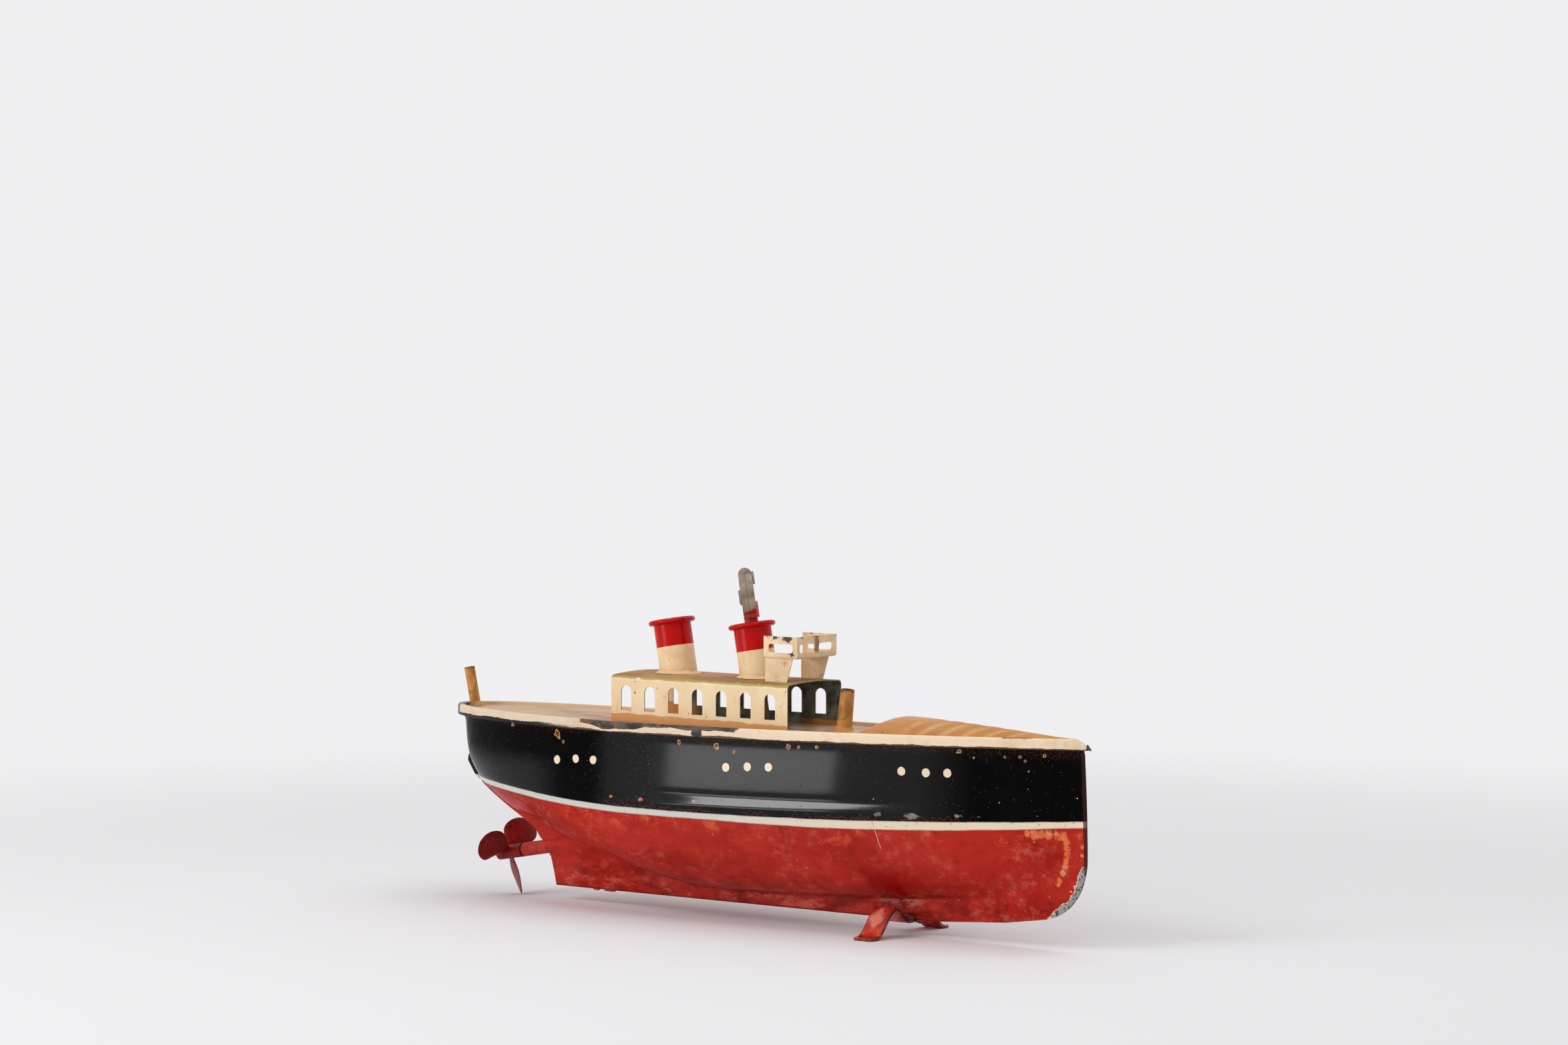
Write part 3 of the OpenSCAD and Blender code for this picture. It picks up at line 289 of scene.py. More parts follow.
widestLine = smoothTable((0, 126), (0.2, 106), (0.6, 94), (1, 90))
aftPowerUnder = smoothTable((0, 1.2), (0.5, 1), (1, 0.75))
aftPowerTop = smoothTable((0, 0.75), (0.4, 0.55), (1, 0.5))


def topShare(z):
    return clamp((z - ship["waterline"]) / (gunwaleZ - ship["waterline"]), 0, 1)


def underShare(z):
    return clamp((z - bottomZ) / (ship["waterline"] - bottomZ), 0, 1)


def endRise(z, lineRise, sheer):
    if z < ship["waterline"]:
        return lineRise * underShare(z) ** 1.5
    return lineRise * (1 - topShare(z)) + sheer * topShare(z)


def sternEnd(z):
    return hullSternX + sternLine(z + endRise(z, ship["lineRiseStern"], ship["sheerStern"]) - ship["keel"])


def stemEnd(z):
    return stemX - stemLine(z + endRise(z, ship["lineRiseBow"], ship["sheerBow"]) - ship["keel"])


def creaseAft(z):
    past = z + endRise(z, ship["lineRiseStern"], 0) > ship["keel"] + 26.6
    return max(sternEnd(z) + ship["seam"], sternX if past else hullSternX + creaseAftLine(z - ship["keel"]))


def creaseFore(z):
    past = z > ship["keel"] + 38
    return min(stemEnd(z) - ship["seam"], bowX if past else stemX - creaseForeLine(z - ship["keel"]))


def breadth(z):
    if z < bottomZ:
        return 0
    return ship["beam"] / 2 * (underShape(underShare(z)) if z < ship["waterline"] else topShape(topShare(z)))


def aftPower(z):
    return aftPowerUnder(underShare(z)) if z < ship["waterline"] else aftPowerTop(topShare(z))


def flange(z):
    # The seam narrows under the lip
    return ship["flange"] / 5 if topShare(z) > 0.89 else ship["flange"]


def noseShare(x):
    # The edge droops over its last few millimetres at the bow
    return clamp((x - (bowX - 8)) / 6.8, 0, 1) ** 2


def hullRow(z, wall, mesh):
    # Starboard half of the outline at one level, from stern to stem, moved in by the wall
    edge = 0 if wall else flange(z)
    riseAft = endRise(z, ship["lineRiseStern"], ship["sheerStern"])
    riseFore = endRise(z, ship["lineRiseBow"], ship["sheerBow"])
    risePower = 2 - 0.6 * topShare(z)
    wide = sternX + widestLine(underShare(z))
    aft, fore = creaseAft(z - wall) + 1.5 * wall, creaseFore(z - wall) - 3 * wall
    reach = breadth(z - wall) - wall
    row = [(sternEnd(z) + (creaseAft(z) - sternEnd(z)) * k / 2, -edge, z + riseAft) for k in (0, 1)]
    for k in range(mesh["aft"], 0, -1):
        s = math.sin(math.pi / 2 * k / mesh["aft"])
        row.append((wide - s * (wide - aft), -max(edge, reach * max(0, 1 - s * s) ** aftPower(z)),
                    z + riseAft * s ** risePower))
    forePower = 1.2 - 0.2 * underShare(z)
    for k in range(mesh["fore"] + 1):
        s = k / mesh["fore"]
        s = s if s < 0.9 else 0.9 + 0.1 * math.sin(math.pi / 2 * (s - 0.9) / 0.1)
        x = wide + s * (fore - wide)
        # forward of the strap the hard corner over the fin softens away
        easing = clamp((x - 40) / 45, 0, 1) ** 1.5
        half = reach * max(0, 1 - s ** ship["foreCurve"]) ** forePower
        half *= 1 - 0.4 * easing * (1 - underShare(z)) ** 6
        finShare = clamp((z - ship["keel"]) / ship["fin"], 0, 1)
        swell = edge + 1.1 * easing * finShare ** 2 * (1 - s ** 6) * (wall == 0)
        row.append((x, -max(edge, swell if z <= bottomZ + 2 else edge, half), z + riseFore * s ** risePower))
    row += [(stemEnd(z) + (creaseFore(z) - stemEnd(z)) * k / 2, -edge, z + riseFore) for k in (1, 0)]
    return [(x, y, height - 2.7 * noseShare(x) * topShare(z) ** 5) for x, y, height in row]


def hullHalf(side):
    # Close levels up to a third of the topsides, where the pressed ridge is
    mesh = {"aft": 44, "fore": 52, "under": 26, "ridge": 20, "top": 20}
    under, top, ridge = ship["waterline"] - bottomZ, gunwaleZ - ship["waterline"], 0.34
    levels = [ship["keel"] + 0.15, ship["keel"] + ship["fin"] / 2]
    levels += [bottomZ + (k / mesh["under"]) ** 1.5 * under for k in range(mesh["under"] + 1)]
    shares = [k / mesh["ridge"] * ridge for k in range(1, mesh["ridge"] + 1)]
    shares += [ridge + (1 - ridge) * k / mesh["top"] for k in range(1, mesh["top"] + 1)]
    levels += [ship["waterline"] + share * top for share in shares]
    rings = []
    for z in levels:
        ring = hullRow(z, 0, mesh) + hullRow(z, ship["sheet"], mesh)[::-1]
        rings.append([(x, side * y, height) for x, y, height in ring])
    return closedLoft(rings)


# Motor frame: X runs up the propeller shaft, Z up the winding arbor
jointPlace = {joint["name"]: Vector(joint["pos_m"]) / mm for joint in frame["joints"]}
motor = {"place": jointPlace["great_wheel_spin"], "rake": math.radians(10),
         "propeller": -(jointPlace["great_wheel_spin"] - jointPlace["propeller_spin"]).length}


def fromMotor(point):
    x, y, z = point
    return (motor["place"][0] + x * math.cos(motor["rake"]) - z * math.sin(motor["rake"]), y,
            motor["place"][2] + x * math.sin(motor["rake"]) + z * math.cos(motor["rake"]))


def shaftSwelling():
    # The two halves bulge round the stern tube, and the bulge spreads and fades as it goes forward
    size = {"entry": 18.4, "half": 2.55, "edge": 0.3, "spread": 1.55, "across": 26}
    rings = []
    for along, grow in ((0, -0.55), (0, -0.1), (0.2, 0.1), (0.7, 0.12), (1.5, 0), (3, 0), (6, 0), (10, 0),
                        (15, 0), (20, 0), (25, -0.2), (30, -1.2)):
        spread = size["spread"] + 0.2 * min(along, 15)
        side = []
        for i in range(size["across"] + 1):
            rise = (2 * i / size["across"] - 1) * 2.1 * spread
            side.append((rise, size["edge"] + (size["half"] + grow) * math.exp(-(rise / spread) ** 2)))
        ring = [(rise, -half) for rise, half in side] + [(rise, half) for rise, half in side[::-1]]
        rings.append([fromMotor((motor["propeller"] + size["entry"] + along, y, rise)) for rise, y in ring])
    return closedLoft(rings)


def boreForTube(pieces):
    # The hole's edge lies within the stern tube's wall, so that the shaft runs clear of the skins
    bore = {"start": 7.6, "end": 48.8, "radius": 2.2, "sides": 40}
    turns = [2 * math.pi * (i + 0.5) / bore["sides"] for i in range(bore["sides"])]
    ring = [(bore["radius"] * math.cos(t), bore["radius"] * math.sin(t)) for t in turns]
    rings = [[fromMotor((motor["propeller"] + bore[end], y, z)) for y, z in ring] for end in ("start", "end")]
    data = makeMesh("tubeBore", *closedLoft(rings))
    cutter = addObject("tubeBore", data)
    for piece in pieces:
        cut = piece.modifiers.new("bore", "BOOLEAN")
        cut.operation = "DIFFERENCE"
        cut.solver = "EXACT"
        cut.object = cutter
    graph = bpy.context.evaluated_depsgraph_get()
    bored = [bpy.data.meshes.new_from_object(piece.evaluated_get(graph)) for piece in pieces]
    for piece, shape in zip(pieces, bored):
        piece.modifiers.clear()
        piece.data = shape
        shape.name = piece.name
        shape.set_sharp_from_angle(angle=sharpEdge)
    bpy.data.objects.remove(cutter)
    bpy.data.meshes.remove(data)


# Deck and lip
lip = {"width": 1.45, "skirt": 3.6, "gap": 0.12, "nose": 1.0, "foot": 1.6, "roll": 0.95, "aft": 40, "fore": 48}
lipBreadth = breadth(gunwaleZ) + ship["sheet"] + lip["gap"]
lipWidest = sternX + ship["widest"]


def lipPlan(inset):
    # Half the plan from stern to stem: x, half width, rise of the edge
    foot = lip["foot"] if inset > 0.9 else 0
    wide = lipBreadth - inset
    row = []
    for k in range(lip["aft"], 0, -1):
        s = math.sin(math.pi / 2 * k / lip["aft"])
        row.append((lipWidest - s * (lipWidest - sternX - inset - foot), wide * math.sqrt(max(0, 1 - s * s)),
                    ship["sheerStern"] * s ** 1.4))
    foreEnd = stemX + 0.5 - 2.6 * inset - foot
    for s in [k / lip["fore"] for k in range(lip["fore"])] + [0.992, 1]:
        half = 0 if s == 1 else max(wide * (1 - s ** ship["foreCurve"]), lip["nose"] - 0.6 * inset)
        row.append((lipWidest + s * (foreEnd - lipWidest), half, ship["sheerBow"] * s ** 1.4))
    return row


def lipRing():
    # Profile of the lip: inset, height over the edge, and 1 where the height is over the floor
    under = ship["deck"] - ship["sheet"]
    width, skirt, sheet, roll = lip["width"], lip["skirt"], ship["sheet"], lip["roll"]
    profile = [(0, -skirt + 0.1, 0), (0, -roll, 0)]
    turns = [math.pi / 12 * i for i in range(1, 7)]
    profile += [(0.75 - 0.75 * math.cos(t), -roll + roll * math.sin(t), 0) for t in turns]
    profile += [(1.0, -0.08, 0), (1.22, -0.3, 0), (width - 0.12, -0.6, 0), (width, under, 1),
                (width - sheet, under, 1), (width - 0.45, -0.7, 0), (sheet, -0.7, 0), (sheet, -skirt, 0),
                (0.18, -skirt - 0.08, 0)]
    rings = []
    for inset, height, level in profile:
        half = []
        for x, y, rise in lipPlan(inset):
            droop = 0.74 * (height + skirt) * noseShare(x)
            half.append((x, y, height if level else lipZ + rise + height - droop))
        rings.append([(x, -y, z) for x, y, z in half] + [(x, y, z) for x, y, z in half[-2:0:-1]])
    return closedLoft(rings, asLoop=True)


def deckPlate():
    # The winding arbor comes up through a round hole, so the sheet is drawn as rings from its edge to the hole
    top, under, hole, tucked = ship["deck"], ship["deck"] - ship["sheet"], 2.8, 0.3
    half = [point[:2] for point in lipPlan(lip["width"] - tucked)]
    edge = [(x, -y) for x, y in half] + half[-2:0:-1]
    arbor = fromMotor((0, 0, (top - motor["place"][2]) / math.cos(motor["rake"])))
    shares = (0, 0.25, 0.5, 0.75, 0.9, 1)
    rings = []
    for z, share in [(top, share) for share in shares] + [(under, share) for share in shares[::-1]]:
        ring = []
        for x, y in edge:
            away = math.hypot(x - arbor[0], y)
            reach = hole + (away - hole) * (1 - share)
            ring.append((arbor[0] + (x - arbor[0]) / away * reach, y / away * reach, z))
        rings.append(ring)
    return closedLoft(rings, asLoop=True)


hump = {"from": bowX - 87, "to": stemX - 7, "height": 6.4, "rows": 150, "columns": 36, "steep": 0.2}
crease = {"first": 66, "pitch": 7.6, "count": 5, "slant": 12, "wide": 1.3, "deep": 0.5, "paintedCrestLight": 67.4,
          "middle": 88}


def humpRise(s):
    if s < hump["steep"]:
        return hump["height"] * math.sin(math.pi / 2 * s / hump["steep"])
    fall = hump["height"] - ship["lipRise"] - ship["sheerBow"]
    return hump["height"] - fall * ((s - hump["steep"]) / (1 - hump["steep"])) ** 1.38


def creaseDepth(x, v):
    # Slanting creases pressed into each slope of the hump, deepest half way up
    along = (x - crease["first"] - crease["slant"] * (1 - abs(v))) / crease["pitch"]
    step = clamp(round(along), 0, crease["count"] - 1)
    away = (along - step) * crease["pitch"] / crease["wide"]
    return crease["deep"] * math.exp(-away * away) * math.sin(math.pi * clamp(1 - abs(v), 0, 1)) ** 0.6


def humpRow(s, wall):
    base = ship["deck"] - ship["sheet"] / 2
    x = hump["from"] + s * (hump["to"] - hump["from"])
    share = (x - lipWidest) / (stemX + 0.5 - lipWidest)
    width = (lipBreadth - lip["width"] - 0.2) * (1 - share ** ship["foreCurve"]) - 1.1
    row = []
    for i in range(hump["columns"] + 1):
        v = math.sin(math.pi * (i / hump["columns"] - 0.5))
        rise = max(0, humpRise(s) - wall) * (1 - v * v) ** 0.7
        row.append((x, v * (width - wall), base + rise - creaseDepth(x, v) * min(1, rise)))
    return row


def deckHump():
    shares = [k / hump["rows"] for k in range(hump["rows"] + 1)]
    return closedLoft([humpRow(s, 0) + humpRow(s, ship["sheet"])[::-1] for s in shares])


def beakPoint():
    low = lipZ + ship["sheerBow"] - lip["skirt"]
    outline = [(bowX, low), (bowX - 0.5, low + 0.7), (bowX - 1.5, low + 1.9), (bowX - 2.1, low + 0.3)]
    return closedLoft([[(x, half, z) for x, z in outline] for half in (-0.3, -0.24, 0.24, 0.3)])


# Propeller blades on the CAD's own twist
blade = {"radius": 15.6, "width": 11.8, "thick": 0.7, "hub": 2.45, "low": 168, "rows": 26, "columns": 14,
         "widest": 0.58}


def bladeMesh(turn, bend):
    angle = math.radians(-blade["low"] - turn)
    root = blade["hub"] - 0.4

    def point(u, v, side):
        past = (u - blade["widest"]) / (1 - blade["widest"])
        share = math.sqrt(max(0.004, 1 - past ** 2))
        if u <= blade["widest"]:
            share = 0.3 + 0.7 * math.sin(math.pi / 2 * (u / blade["widest"]) ** 1.25)
        c = v * share * blade["width"] / 2
        pitch = math.radians(60 - 16 * u - bend * min(1, u * 2))
        thick = side * blade["thick"] / 2 * max(0.12, 1 - abs(v) ** 5) ** 0.5 * max(0.12, 1 - u ** 12) ** 0.5
        x = c * math.sin(pitch) + thick * math.cos(pitch)
        y = c * math.cos(pitch) - thick * math.sin(pitch)
        z = root + (blade["radius"] - root) * u - 0.02 * c * c
        return fromMotor((motor["propeller"] + x, y * math.cos(angle) - z * math.sin(angle),
                          y * math.sin(angle) + z * math.cos(angle)))
    across = [math.sin(math.pi * (i / blade["columns"] - 0.5)) for i in range(blade["columns"] + 1)]
    rings = []
    for j in range(blade["rows"] + 1):
        u = 1 - (1 - j / blade["rows"]) ** 1.4
        rings.append([point(u, v, 1) for v in across] + [point(u, v, -1) for v in across[::-1]])
    return closedLoft(rings)


def solderFoot(x, level, lean, radius, flare, height):
    # A run-out collar of solder round a leaning tube that stands on a flat sheet
    sides, uneven = 56, 0.25
    tilt = math.tan(math.radians(lean))
    turns = [2 * math.pi * i / sides for i in range(sides)]
    # the collar closes over a ring that is buried in the tube's wall
    within = radius - 0.3
    rings = [[(x + within * math.cos(t), within * math.sin(t), level - 0.02) for t in turns]]
    for share in (0, 0.12, 0.3, 0.5, 0.72, 0.9, 1.0):
        ring = []
        for t in turns:
            waves = math.sin(3 * t + x) * 0.5 + math.sin(7 * t + 2 * x) * 0.3 + math.sin(13 * t) * 0.2
            ripple = 1 + uneven * waves
            out = radius - 0.12 + flare * ripple * (1 - share) ** 2.2
            up = height * ripple * share
            ring.append((x + out * math.cos(t) + up * tilt, out * math.sin(t), level + up - 0.02))
        rings.append(ring)
    return closedLoft(rings, asLoop=True)


def solderLump(place, reach):
    # Closed uneven blob, longest along the ship
    rings, sides = 14, 20
    made = []
    for k in range(rings + 1):
        turn = math.pi * clamp(k / rings, 0.02, 0.98)
        ring = []
        for i in range(sides):
            t = 2 * math.pi * i / sides
            ripple = 1 + 0.16 * math.sin(2 * t + place[0] + k * 0.7) + 0.09 * math.sin(3 * t - k)
            out = math.sin(turn) * ripple
            ring.append((place[0] + reach[0] * math.cos(turn), place[1] + reach[1] * out * math.cos(t),
                         place[2] + reach[2] * out * math.sin(t)))
        made.append(ring)
    return closedLoft(made)


# Marks on the hull: x, y and z of the starboard side, and the radius where it varies
portholes = [(-70.9, 22.3, 51.6), (-62.0, 23.0, 52.5), (-54.0, 23.4, 52.6), (2.2, 22.3, 53.3),
             (10.7, 21.7, 54.0), (19.0, 21.0, 54.3), (68.3, 14.6, 55.4), (76.9, 13.0, 55.3), (84.4, 11.5, 55.5)]
rustCraters = [(-71.0, -22.1, 60.2, 1.5), (-68.1, -22.4, 57.8, 0.6), (-93.7, -19.1, 61.9, 0.8),
               (-17.0, -22.9, 60.5, 0.8), (-1.8, -22.3, 60.2, 1.0), (5.1, -21.9, 58.6, 0.55),
               (26.7, -20.1, 61.4, 0.95), (30.3, -19.7, 61.4, 0.6), (37.2, -18.9, 61.7, 0.6),
               (88.3, -10.6, 62.6, 0.9), (93.3, -9.5, 60.9, 0.45), (103.6, -7.2, 61.4, 0.55),
               (108.9, -5.9, 61.8, 0.5), (116.9, -3.9, 62.4, 0.6), (110.4, -5.5, 60.5, 0.4),
               (111.7, -5.2, 57.2, 0.35)]
bareFlakes = [(60.2, -16.5, 41.0, 1.4), (72.2, -14.3, 40.9, 2.2), (88.2, -11.1, 41.8, 1.5),
              (95.3, -9.5, 41.9, 0.5), (-10.1, -23.8, 41.4, 1.0)]
redFlakes = [(-32.3, -24.4, 40.6, 0.9), (-45.4, -24.4, 40.8, 0.8)]
primerMarks = [(111.2, -5.0, 37.2, 1.1), (113.4, -5.0, 36.9, 1.5), (115.8, -4.2, 37.0, 1.2),
               (118.2, -3.5, 37.1, 1.5), (120.8, -2.9, 37.0, 1.3), (122.8, -2.6, 36.6, 1.6),
               (123.8, -1.8, 34.8, 1.1), (124.0, -1.9, 32.8, 1.1), (124.0, -1.9, 30.8, 1.0),
               (123.4, -2.0, 28.8, 1.1), (122.9, -2.0, 26.8, 1.0), (122.0, -2.4, 24.8, 1.1),
               (121.0, -2.5, 22.4, 1.1), (120.0, -2.5, 20.8, 1.0), (129.6, -0.5, 33.8, 0.7),
               (129.4, -0.6, 31.0, 0.6)]


def spotMarks(f, ragged, spots, spread=1.0, soft=0.12, tall=1.0):
    # Union of ragged round marks. Their breadth across the ship counts for little, so they stay on the skin
    across = 0.25
    flat = f.vector("MULTIPLY", {0: f.place, 1: (1, across, tall)})
    discs = [(f.near((x, y * across, z * tall), flat) + ragged * radius) / (radius * spread)
             for x, y, z, radius in spots]
    return leastOf(discs).fade(1 + soft, 1 - soft)


def bottomRed(f, over, ragged, fine):
    # Two reds, a chalky bloom in patches, orange rubbing under the line, mottled fin
    red = f.mix(f.cloud(24, 4, 4, 0.6, (1.8, 1, 1), 0.5).fade(0.4, 0.64), "red", "redDeep")
    bloom = fine.fade(0.46, 0.66) * f.cloud(13, 6, 4, 0.6).fade(0.44, 0.62)
    red = red.lay(bloom * 0.38, "chalk")
    rubbed = fine.fade(0.5, 0.62) * f.cloud(8, 7, 4, 0.6, (1.6, 1, 1)).fade(0.46, 0.58) * over.fade(-11, -3.4)
    red = red.lay(rubbed * 0.8, "orange")
    red = red.lay(f.cloud(5, 9, 6, 0.7, (2, 1, 1)).fade(0.44, 0.62) * f.z.fade(20, 10) * 0.75, "redDark")
    fin = f.z.fade(13, 8.5) * f.x.fade(60, 20)
    red = red.lay(f.cloud(3.4, 8, 7, 0.72, (2.4, 1, 1)).fade(0.5, 0.64) * fin * 0.6, "chalk")
    bowBloom = f.near((110, -4.6, 25)).fade(16, 2) + f.near((83, -10, 22)).fade(8, 1)
    bowBloom = bowBloom + f.near((104, -2, 11)).fade(14, 2)
    red = red.lay(fine.fade(0.47, 0.66) * bowBloom.least(1) * 0.5, "chalk")
    # rubbed and smeared round the strap
    dusty = abs(f.x - 58.5) / 10 + abs(f.z - 11.2) / 4.4 + f.sway(1.2, 3, 11, 4)
    red = red.lay(dusty.fade(1.2, 0.6) * fine.fade(0.42, 0.56) * 0.8, "dusty")
    smear = (abs(f.x - 58) / 6.6).most(abs(f.z - 16.4) / 5.6) + f.sway(0.9, 5, 10)
    red = red.lay(smear.fade(1.15, 0.6) * f.starboard() * 0.9, "deepRed")
    red = red.lay(f.z.fade(6.0, 5.3) * 0.7, "redDark")
    red = red.lay(f.dots(5.2, 0.045, 12) * 0.8, "rustPale")
    red = red.lay(f.cloud(4, 13, 6, 0.7, (1.4, 1, 1)).fade(0.52, 0.7) * 0.5, "redDark")
    # orange primer at the bow, and bare metal with a pale edge round the forefoot
    primer = f.mix(fine.fade(0.5, 0.62), "primer", "redPale")
    red = red.lay(spotMarks(f, ragged, primerMarks, soft=0.3) * fine.fade(0.36, 0.46), primer)
    forward = ((f.x - (stemX - 34)) / 34).most(0)
    down = (1 - (f.z - ship["keel"]) / 24).most(0)
    rim = forward ** 2.2 + down ** 2.2 + f.sway(0.62, 5, 14, 5, 0.66)
    place = f.z.fade(27.6, 26.8) * (f.x + f.sway(4, 3, 35, 4)).fade(116.5, 117)
    red = red.lay(rim.fade(0.87, 0.88) * place, "creamFore")
    bare = rim.fade(0.9, 0.91) * place
    return red.lay(bare, f.mix(f.patches(1.1, 0.36, 15, 0.05), "metal", "metalDark")), bare


def topsideBlack(f, ragged):
    # Rubbed clouds, scuffs, dust, rust craters with pale rings under the lip, and the painted portholes
    black = f.mix(f.cloud(14, 16, 5, 0.7, (1.6, 1, 1)).fade(0.5, 0.75) * 0.6, "black", "blackWorn")
    streak = f.cloud(2.6, 17, 5, 0.7, (5, 1, 0.7), 0.4).fade(0.68, 0.72)
    black = black.lay(streak * 0.5, "scuff")
    black = black.lay(f.cloud(0.8, 18, 4, 0.7).fade(0.6, 0.66) * abs(f.x + 33).fade(9, 2) * 0.6, "scuff")
    thin = f.cloud(1.1, 33, 5, 0.7, (7, 1, 0.6)).fade(0.69, 0.71)
    black = black.lay(thin * f.z.fade(60, 56) * 0.6, "scuff")
    upright = f.cloud(1.0, 34, 4, 0.66, (0.5, 1, 6)).fade(0.7, 0.72)
    black = black.lay(upright * abs(f.x - 90).fade(40, 20) * 0.5, "grime")
    black = black.lay(f.dots(1.5, 0.1, 19) * f.cloud(9, 20).fade(0.42, 0.6) * 0.75, "grime")
    gunwale = (f.z + f.sway(4, 4, 21)).fade(60.6, 63) * f.cloud(0.6, 22, 5, 0.75).fade(0.5, 0.62)
    black = black.lay(gunwale * 0.42, "rust")
    black = black.lay(f.dots(6.1, 0.03, 23) * f.x.fade(10, 60), "creamFore")
    black = black.lay(spotMarks(f, ragged, rustCraters, 0.9), "rustPale")
    black = black.lay(spotMarks(f, ragged, rustCraters, 0.64), "rust")
    mirrored = f.add("CombineXYZ", {}, {0: f.x, 1: abs(f.y), 2: f.z})
    hole = leastOf([f.near(spot, mirrored) for spot in portholes])
    hole = (hole + f.sway(0.4, 1.6, 24)).fade(1.56, 1.4)
    return black.lay(hole, "creamFore"), hole


creamLine = {"lowestX": -20, "fore": 149, "aft": 80, "height": 37.6, "bowRise": 4.3, "sternRise": 4.4,
             "breadth": 2.2, "swell": 0.75, "swellX": 60, "swellReach": 62}


def hullPaint():
    look = {"black": (5, 5, 6), "blackWorn": (17, 16, 17), "cream": (206, 206, 196),
            "creamFore": (236, 216, 190), "red": (180, 44, 33), "redDeep": (156, 29, 21),
            "redDark": (112, 20, 16), "chalk": (204, 102, 84), "orange": (206, 88, 50),
            "primer": (220, 112, 66), "metal": (140, 138, 132), "metalDark": (52, 48, 46),
            "rust": (112, 58, 30), "rustPale": (214, 168, 116), "bluish": (86, 104, 124),
            "scuff": (92, 86, 86), "flake": (138, 126, 120), "stemLine": (52, 26, 24), "deepRed": (142, 8, 6),
            "dusty": (196, 116, 102), "redPale": (214, 140, 108), "redHair": (158, 52, 44),
            "grime": (104, 84, 78)}
    f = Finish("hullPaint", look, IOR=1.45, Specular_IOR_Level=0.025, Coat_IOR=1.5, Coat_Roughness=0.08)
    ragged = f.sway(3.0, 1.5, 1, 5, 0.65)
    fine = f.cloud(3.2, 5, 8, 0.72, (1.3, 1, 1))
    # height over the cream line's upper edge, and the line's breadth
    ahead = ((f.x - creamLine["lowestX"]) / creamLine["fore"]).most(0)
    behind = ((f.x - creamLine["lowestX"]) / -creamLine["aft"]).most(0)
    wobble = f.sway(0.55, 16, 2) + f.sway(0.16, 1.8, 3, 2)
    sternRise = creamLine["sternRise"] * behind ** 2.6 / (1 + 0.4 * behind ** 4)
    over = f.z - (creamLine["height"] + creamLine["bowRise"] * ahead * ahead + sternRise) + wobble
    away = (f.x - creamLine["swellX"]) / creamLine["swellReach"]
    band = creamLine["breadth"] + (creamLine["swell"] * (1 - away * away)).most(0)
    isRed = (over + band).fade(0.05, -0.05)
    red, bare = bottomRed(f, over, ragged, fine)
    black, hole = topsideBlack(f, ragged)
    # cream line with dark bluish edges
    cream = f.mix(f.x.fade(-40, 90), "cream", "creamFore")
    cream = cream.lay((abs(over + band * 0.5) - band * 0.5).fade(-0.4, -0.05) * 0.55, "bluish")
    cream = cream.lay(f.patches(1.6, 0.05, 25) * 0.7, "rust")
    colour = cream.lay(over.fade(-0.05, 0.05), black).lay(isRed, red)
    # a wandering red hair line above the cream, flakes on the ridge, one long scratch
    wander = f.add("TexNoise", {"noise_dimensions": "1D"}, {"W": f.x / 11, "Detail": 0.6, "Roughness": 0.4})
    hair = abs(over - wobble - 0.5 - (wander - 0.45) * 4.2).fade(0.11, 0.03) * abs(f.x - 22).fade(74, 70)
    colour = colour.lay(hair * f.starboard() * f.cloud(17, 26, 2).fade(0.4, 0.44) * 0.8, "redHair")
    flake = f.mix(fine.fade(0.4, 0.6), "flake", "scuff")
    colour = colour.lay(spotMarks(f, ragged, bareFlakes, soft=0.1, tall=2.4), flake)
    colour = colour.lay(spotMarks(f, ragged, redFlakes, soft=0.1, tall=1.6), "chalk")
    scratch = abs(f.x - 59.2 + (f.z - 34) * 0.26 + f.sway(1.2, 5, 27, 2)).fade(0.16, 0.08)
    colour = colour.lay(scratch * abs(f.z - 34).fade(4.6, 4.2) * f.starboard(), "rustPale")
    # dark fold of the seam at the stem
    fold = (f.x + (f.z - 24) * 0.032).fade(stemX - 0.75, stemX - 0.45) * f.z.fade(5, 8)
    colour = colour.lay(fold * 0.85, "stemLine")
    # the black still shines amidships and on the quarter
    amid = (f.x + ragged * 4).fade(-56, -44) * f.x.fade(96, 70)
    quarter = (f.x + ragged * 3).fade(-66, -86) * (f.z + ragged).fade(55, 47)
    glossy = amid.most(quarter) * f.cloud(1.4, 28, 5, 0.7).fade(0.76, 0.6)
    coat = (0.01 + 0.37 * glossy) * (1 - isRed * 0.6)
    rough = 0.12 + 0.16 * f.cloud(10, 29, 5, 0.7).fade(0.45, 0.7) + isRed * 0.28
    peel = f.cloud(1.3, 30) * 0.42 + f.cloud(6, 31, 3, 0.5) * 0.6 + f.cloud(34, 32, 2, 0.5) * 2.4
    return f.paint(colour, rough, peel - bare * 0.5 + hole * 0.2, 0.2, bare * isRed * 0.6, coat)


